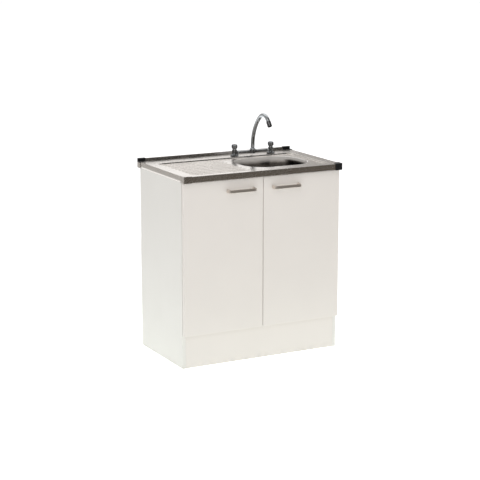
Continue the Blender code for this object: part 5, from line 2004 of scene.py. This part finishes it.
@dataclass
class BottleTrap:
    """Tail pipe, bottle trap and waste pipe in white plastic."""

    tail: float = 0.016
    tail_bore: float = 0.0163
    flange_tall: float = 0.004
    flare_drop: float = 0.010
    nut_bevel: float = 0.003
    nut_rows: int = 13
    neck: float = 0.020
    neck_drop: float = 0.022
    shoulder_drop: float = 0.032
    spigot: float = 0.0185
    spigot_drop: float = 0.048
    spigot_bevel: float = 0.0006
    cup_bore: float = 0.0303
    cup_base: float = 0.006
    cup_grip: float = 0.0012
    cup_ribbed: float = 0.0035
    pipe_wall: float = 0.002
    pipe_lead: float = 0.001
    pipe_bore: float = 0.0203
    grip: float = 0.0018
    ribs: int = 20
    round: int = 72
    ribbed_round: int = 120
    x: float = field(init=False)
    y: float = field(init=False)

    def build(self) -> None:
        """Makes the pieces from the bowl down and out to the back."""
        room = Room.of("waste_tail")
        self.x, self.y = room.x, room.y
        flange, low, high = room.radius, room.low.z, room.high.z
        tail = filleted([(0, low, 0), (self.tail, low, 0.0005), (self.tail, high - self.flare_drop, 0.004),
                         (flange, high - self.flange_tall, 0.001), (flange, high, 0.001), (0, high, 0)])
        axis = Way.UP.at(self.x, self.y, 0)
        self._turn("trap_tail", "waste_tail", axis, tail)
        room = Room.of("trap_nut")
        self._union("trap_union", "trap_nut", axis, self.tail_bore, (room.low.z, room.high.z))
        self._bottle(axis)
        self._cup(axis)
        self._outlet()

    def _turn(self, name: str, node: str, place: Matrix, line: Line, wave: Optional[Wave] = None) -> None:
        """One turned piece of the trap, finer round where it is ribbed."""
        Form(place).turned(line, self.ribbed_round if wave else self.round, wave).piece(
            name, Body.CABINET, TRAP_WHITE, [node])

    def _union(self, name: str, node: str, place: Matrix, bore: float, ends: Flat) -> None:
        """Makes a ribbed union nut, bevelled at its far end.

        Args:
            name: The piece's name.
            node: The CAD node that it stands for.
            place: Where its axis starts.
            bore: The radius of its bore.
            ends: Its two ends along that axis.
        """
        outer, (low, high) = Room.of(node).radius, ends
        line = filleted([(bore, low, 0), (outer, low, 0.0012), (outer, high - self.nut_bevel, 0.001),
                         (outer - self.nut_bevel, high, 0.001), (bore, high, 0)])
        self._turn(name, node, place, line, lobes(self.ribs, self.grip, range(1, self.nut_rows)))

    def _bottle(self, axis: Matrix) -> None:
        """Makes the trap's body with its outlet spigot.

        Args:
            axis: The trap's axis.
        """
        room = Room.of("trap_body")
        low, high = room.low.z, room.high.z
        wide, reach = self.x - room.low.x, room.high.y - self.y
        line = filleted([(0, low, 0), (wide, low, 0.001), (wide, high - self.shoulder_drop, 0.006),
                         (self.neck, high - self.neck_drop, 0.004), (self.neck, high, 0.0008), (0, high, 0)], 6)
        spigot = Form(Way.BACK.at(self.x, self.y, high - self.spigot_drop))
        outer, bevel = self.spigot, self.spigot_bevel
        spigot.turned([(0, 0), (outer, 0), (outer, reach - bevel), (outer - bevel, reach), (0, reach)],
                      self.round)
        Form(axis).turned(line, self.round).combined([(Join.ADD, spigot)]).piece(
            "trap_bottle", Body.CABINET, TRAP_WHITE, ["trap_body"])

    def _cup(self, axis: Matrix) -> None:
        """Makes the screw-on cup at the trap's foot.

        Args:
            axis: The trap's axis.
        """
        room = Room.of("trap_cup")
        outer, bore, low, high = room.radius, self.cup_bore, room.low.z, room.high.z
        floor = low + self.cup_base
        line = filleted([(0, low, 0), (outer - self.cup_base, low, 0.003), (outer, floor, 0.003),
                         (outer, high, 0.0012), (bore, high, 0), (bore, floor, 0), (0, floor, 0)])
        ribbed = [row for row, (radius, _) in enumerate(line) if radius > outer - self.cup_ribbed]
        self._turn("trap_bowl", "trap_cup", axis, line, lobes(self.ribs, self.cup_grip, ribbed))

    def _outlet(self) -> None:
        """The waste pipe to the back and its union nut."""
        pipe, nut = Room.of("outlet_pipe"), Room.of("outlet_nut")
        radius, long = pipe.radius, pipe.deep
        bore = radius - self.pipe_wall
        line = filleted([(bore, 0, 0), (radius, 0, 0), (radius, long, 0.0005), (bore, long, 0.0005),
                         (bore, self.pipe_lead, 0)])
        self._turn("waste_pipe", "outlet_pipe", Way.BACK.at(self.x, pipe.low.y, pipe.z), line[:-1])
        self._union("outlet_union", "outlet_nut", Way.BACK.at(self.x, nut.low.y, pipe.z), self.pipe_bore,
                    (0.0, nut.deep))


@dataclass(frozen=True)
class Lamp:
    """A soft light that the camera itself doesn't see."""

    name: str
    place: Corner
    aim: Corner
    size: Flat
    power: float

    def hang(self) -> None:
        """Hangs the light at its place, facing its aim."""
        lamp = bpy.data.lights.new(self.name, "AREA")
        lamp.shape, lamp.energy = "RECTANGLE", self.power
        lamp.size, lamp.size_y = self.size
        item = bpy.data.objects.new(self.name, lamp)
        item.visible_camera = False
        item.location = self.place
        item.rotation_euler = (Vector(self.aim) - Vector(self.place)).to_track_quat("-Z", "Y").to_euler()
        bpy.context.scene.collection.objects.link(item)


@dataclass(frozen=True)
class StagePaint:
    """A dull paint that glows by itself."""

    name: str
    colour: Colour
    glow: float = 0.6
    roughness: float = 0.9

    def material(self) -> bpy.types.Material:
        """Makes the paint's material.

        Returns:
            The material.
        """
        shader = Shader(f"stage_{self.name}")
        shader.dress(base_color=self.colour, roughness=self.roughness, specular_ior_level=0.0,
                     emission_color=self.shine(shader), emission_strength=self.glow)
        return shader.material

    def shine(self, shader: Shader) -> Given:
        """The colour that it glows in."""
        return self.colour


@dataclass(frozen=True)
class FloorPaint(StagePaint):
    """A paint whose glow is another near the cabinet than far off."""

    near: Colour = (0.80, 0.87, 0.85)
    far: Colour = (0.62, 0.63, 0.655)
    fade: Flat = (0.5, 2.2)

    def shine(self, shader: Shader) -> Given:
        """The colour that it glows in, by the distance from the cabinet's foot."""
        return shader.mix(shader.away().rise(*self.fade), self.near, self.far)


@dataclass(frozen=True)
class Card:
    """A flat rectangle of the stage, from one corner to the opposite one."""

    low: Corner
    high: Corner
    paint: StagePaint

    def lay(self) -> bpy.types.Object:
        """Makes the card.

        Returns:
            The card.
        """
        first, second = (axis for axis in range(3) if self.low[axis] != self.high[axis])
        corners = []
        for one, other in ((self.low, self.low), (self.high, self.low), (self.high, self.high),
                           (self.low, self.high)):
            corner = list(self.low)
            corner[first], corner[second] = one[first], other[second]
            corners.append(corner)
        form = Form()
        form.mesh.faces.new(form.loop(corners))
        card = form.as_object(self.paint.name)
        card.data.materials.append(self.paint.material())
        return card


SOOT: Colour = (0.012, 0.012, 0.012)
UMBER: Colour = (0.105, 0.091, 0.076)
SLATE: Colour = (0.36, 0.35, 0.335)


@dataclass
class Studio:
    """Floor, backdrop, soft lights, the dark cards that bright metal mirrors, and the camera."""

    surround: Colour = (1.0, 0.97, 0.935)
    surround_strength: float = 0.42
    floor: Card = Card((-30.0, -30.0, 0.0), (30.0, 30.0, 0.0), FloorPaint("floor", (0.92, 0.92, 0.91), 1.0))
    wall: StagePaint = StagePaint("backdrop", (1.0, 1.0, 1.0), 1.05)
    wall_radius: float = 29.4
    wall_heights: Flat = (-0.01, 30.0)
    wall_points: int = 64
    flags: tuple[Card, ...] = (
        Card((-9.0, -9.0, 0.002), (9.0, -1.0, 0.002), StagePaint("flag_front", UMBER)),
        Card((-9.0, -1.0, 0.002), (-1.6, 9.0, 0.002), StagePaint("flag_left", SLATE)),
        Card((1.6, -1.0, 0.002), (9.0, 1.6, 0.002), StagePaint("flag_right", UMBER)),
        Card((-9.0, -9.0, 0.0), (9.0, -9.0, 5.5), StagePaint("flag_behind", SOOT)),
        Card((-9.0, -9.0, 0.0), (-9.0, 1.5, 5.5), StagePaint("flag_beside", SOOT)),
        Card((0.8, -5.0, 5.5), (5.0, 0.4, 5.5), StagePaint("flag_above", SOOT)),
    )
    lamps: tuple[Lamp, ...] = (
        Lamp("key", (-3.0, -4.0, 4.8), (0.0, 0.0, 0.6), (5.0, 5.0), 95.0),
        Lamp("back", (3.35, 7.1, 2.5), (0.0, 0.0, 0.9), (1.4, 3.0), 10.5),
        Lamp("top", (1.5, 3.8, 5.6), (1.0, 3.1, 0.0), (8.0, 6.0), 100.0),
    )
    camera_place: Corner = (-3.1262, -5.9615, 1.9846)
    camera_turn: Corner = (77.65, 0.0, -27.68)
    lens: float = 111.45
    sensor: float = 36.0

    def build(self) -> None:
        """Sets the stage."""
        self._world()
        self.floor.lay()
        self._backdrop()
        for flag in self.flags:
            card = flag.lay()
            card.visible_camera = card.visible_diffuse = card.visible_shadow = False
        for lamp in self.lamps:
            lamp.hang()
        self._camera()

    def _world(self) -> None:
        """An even white surround."""
        world = bpy.data.worlds.new("white_room")
        world.use_nodes = True
        background = world.node_tree.nodes["Background"]
        background.inputs["Color"].default_value = (*self.surround, 1.0)
        background.inputs["Strength"].default_value = self.surround_strength
        bpy.context.scene.world = world
        bpy.context.scene.view_settings.view_transform = "Standard"

    def _backdrop(self) -> None:
        """A white wall all round, past the floor's lit part, that only the camera sees."""
        ring = disc(self.wall_radius, self.wall_points)
        form = Form()
        form.loft([form.level(ring, height) for height in self.wall_heights])
        wall = form.as_object(self.wall.name)
        wall.data.materials.append(self.wall.material())
        for kind in ("diffuse", "glossy", "transmission", "shadow"):
            setattr(wall, f"visible_{kind}", False)

    def _camera(self) -> None:
        """The camera, at the photograph's angle."""
        camera = bpy.data.cameras.new("camera")
        camera.lens, camera.sensor_width = self.lens, self.sensor
        item = bpy.data.objects.new("camera", camera)
        item.location = self.camera_place
        item.rotation_euler = [math.radians(angle) for angle in self.camera_turn]
        bpy.context.scene.collection.objects.link(item)
        bpy.context.scene.camera = item


def main() -> None:
    """Builds the cabinet's looks and the stage."""
    logging.basicConfig(level=logging.INFO, format="%(name)s: %(message)s")
    doors = [Door(side) for side in Side]
    for assembly in (Carcass(), PressedTop(), *doors, BridgeTap(), BasketWaste(), BottleTrap(), Studio()):
        LOG.info("building %s", type(assembly).__name__)
        assembly.build()


if __name__ == "__main__":
    main()
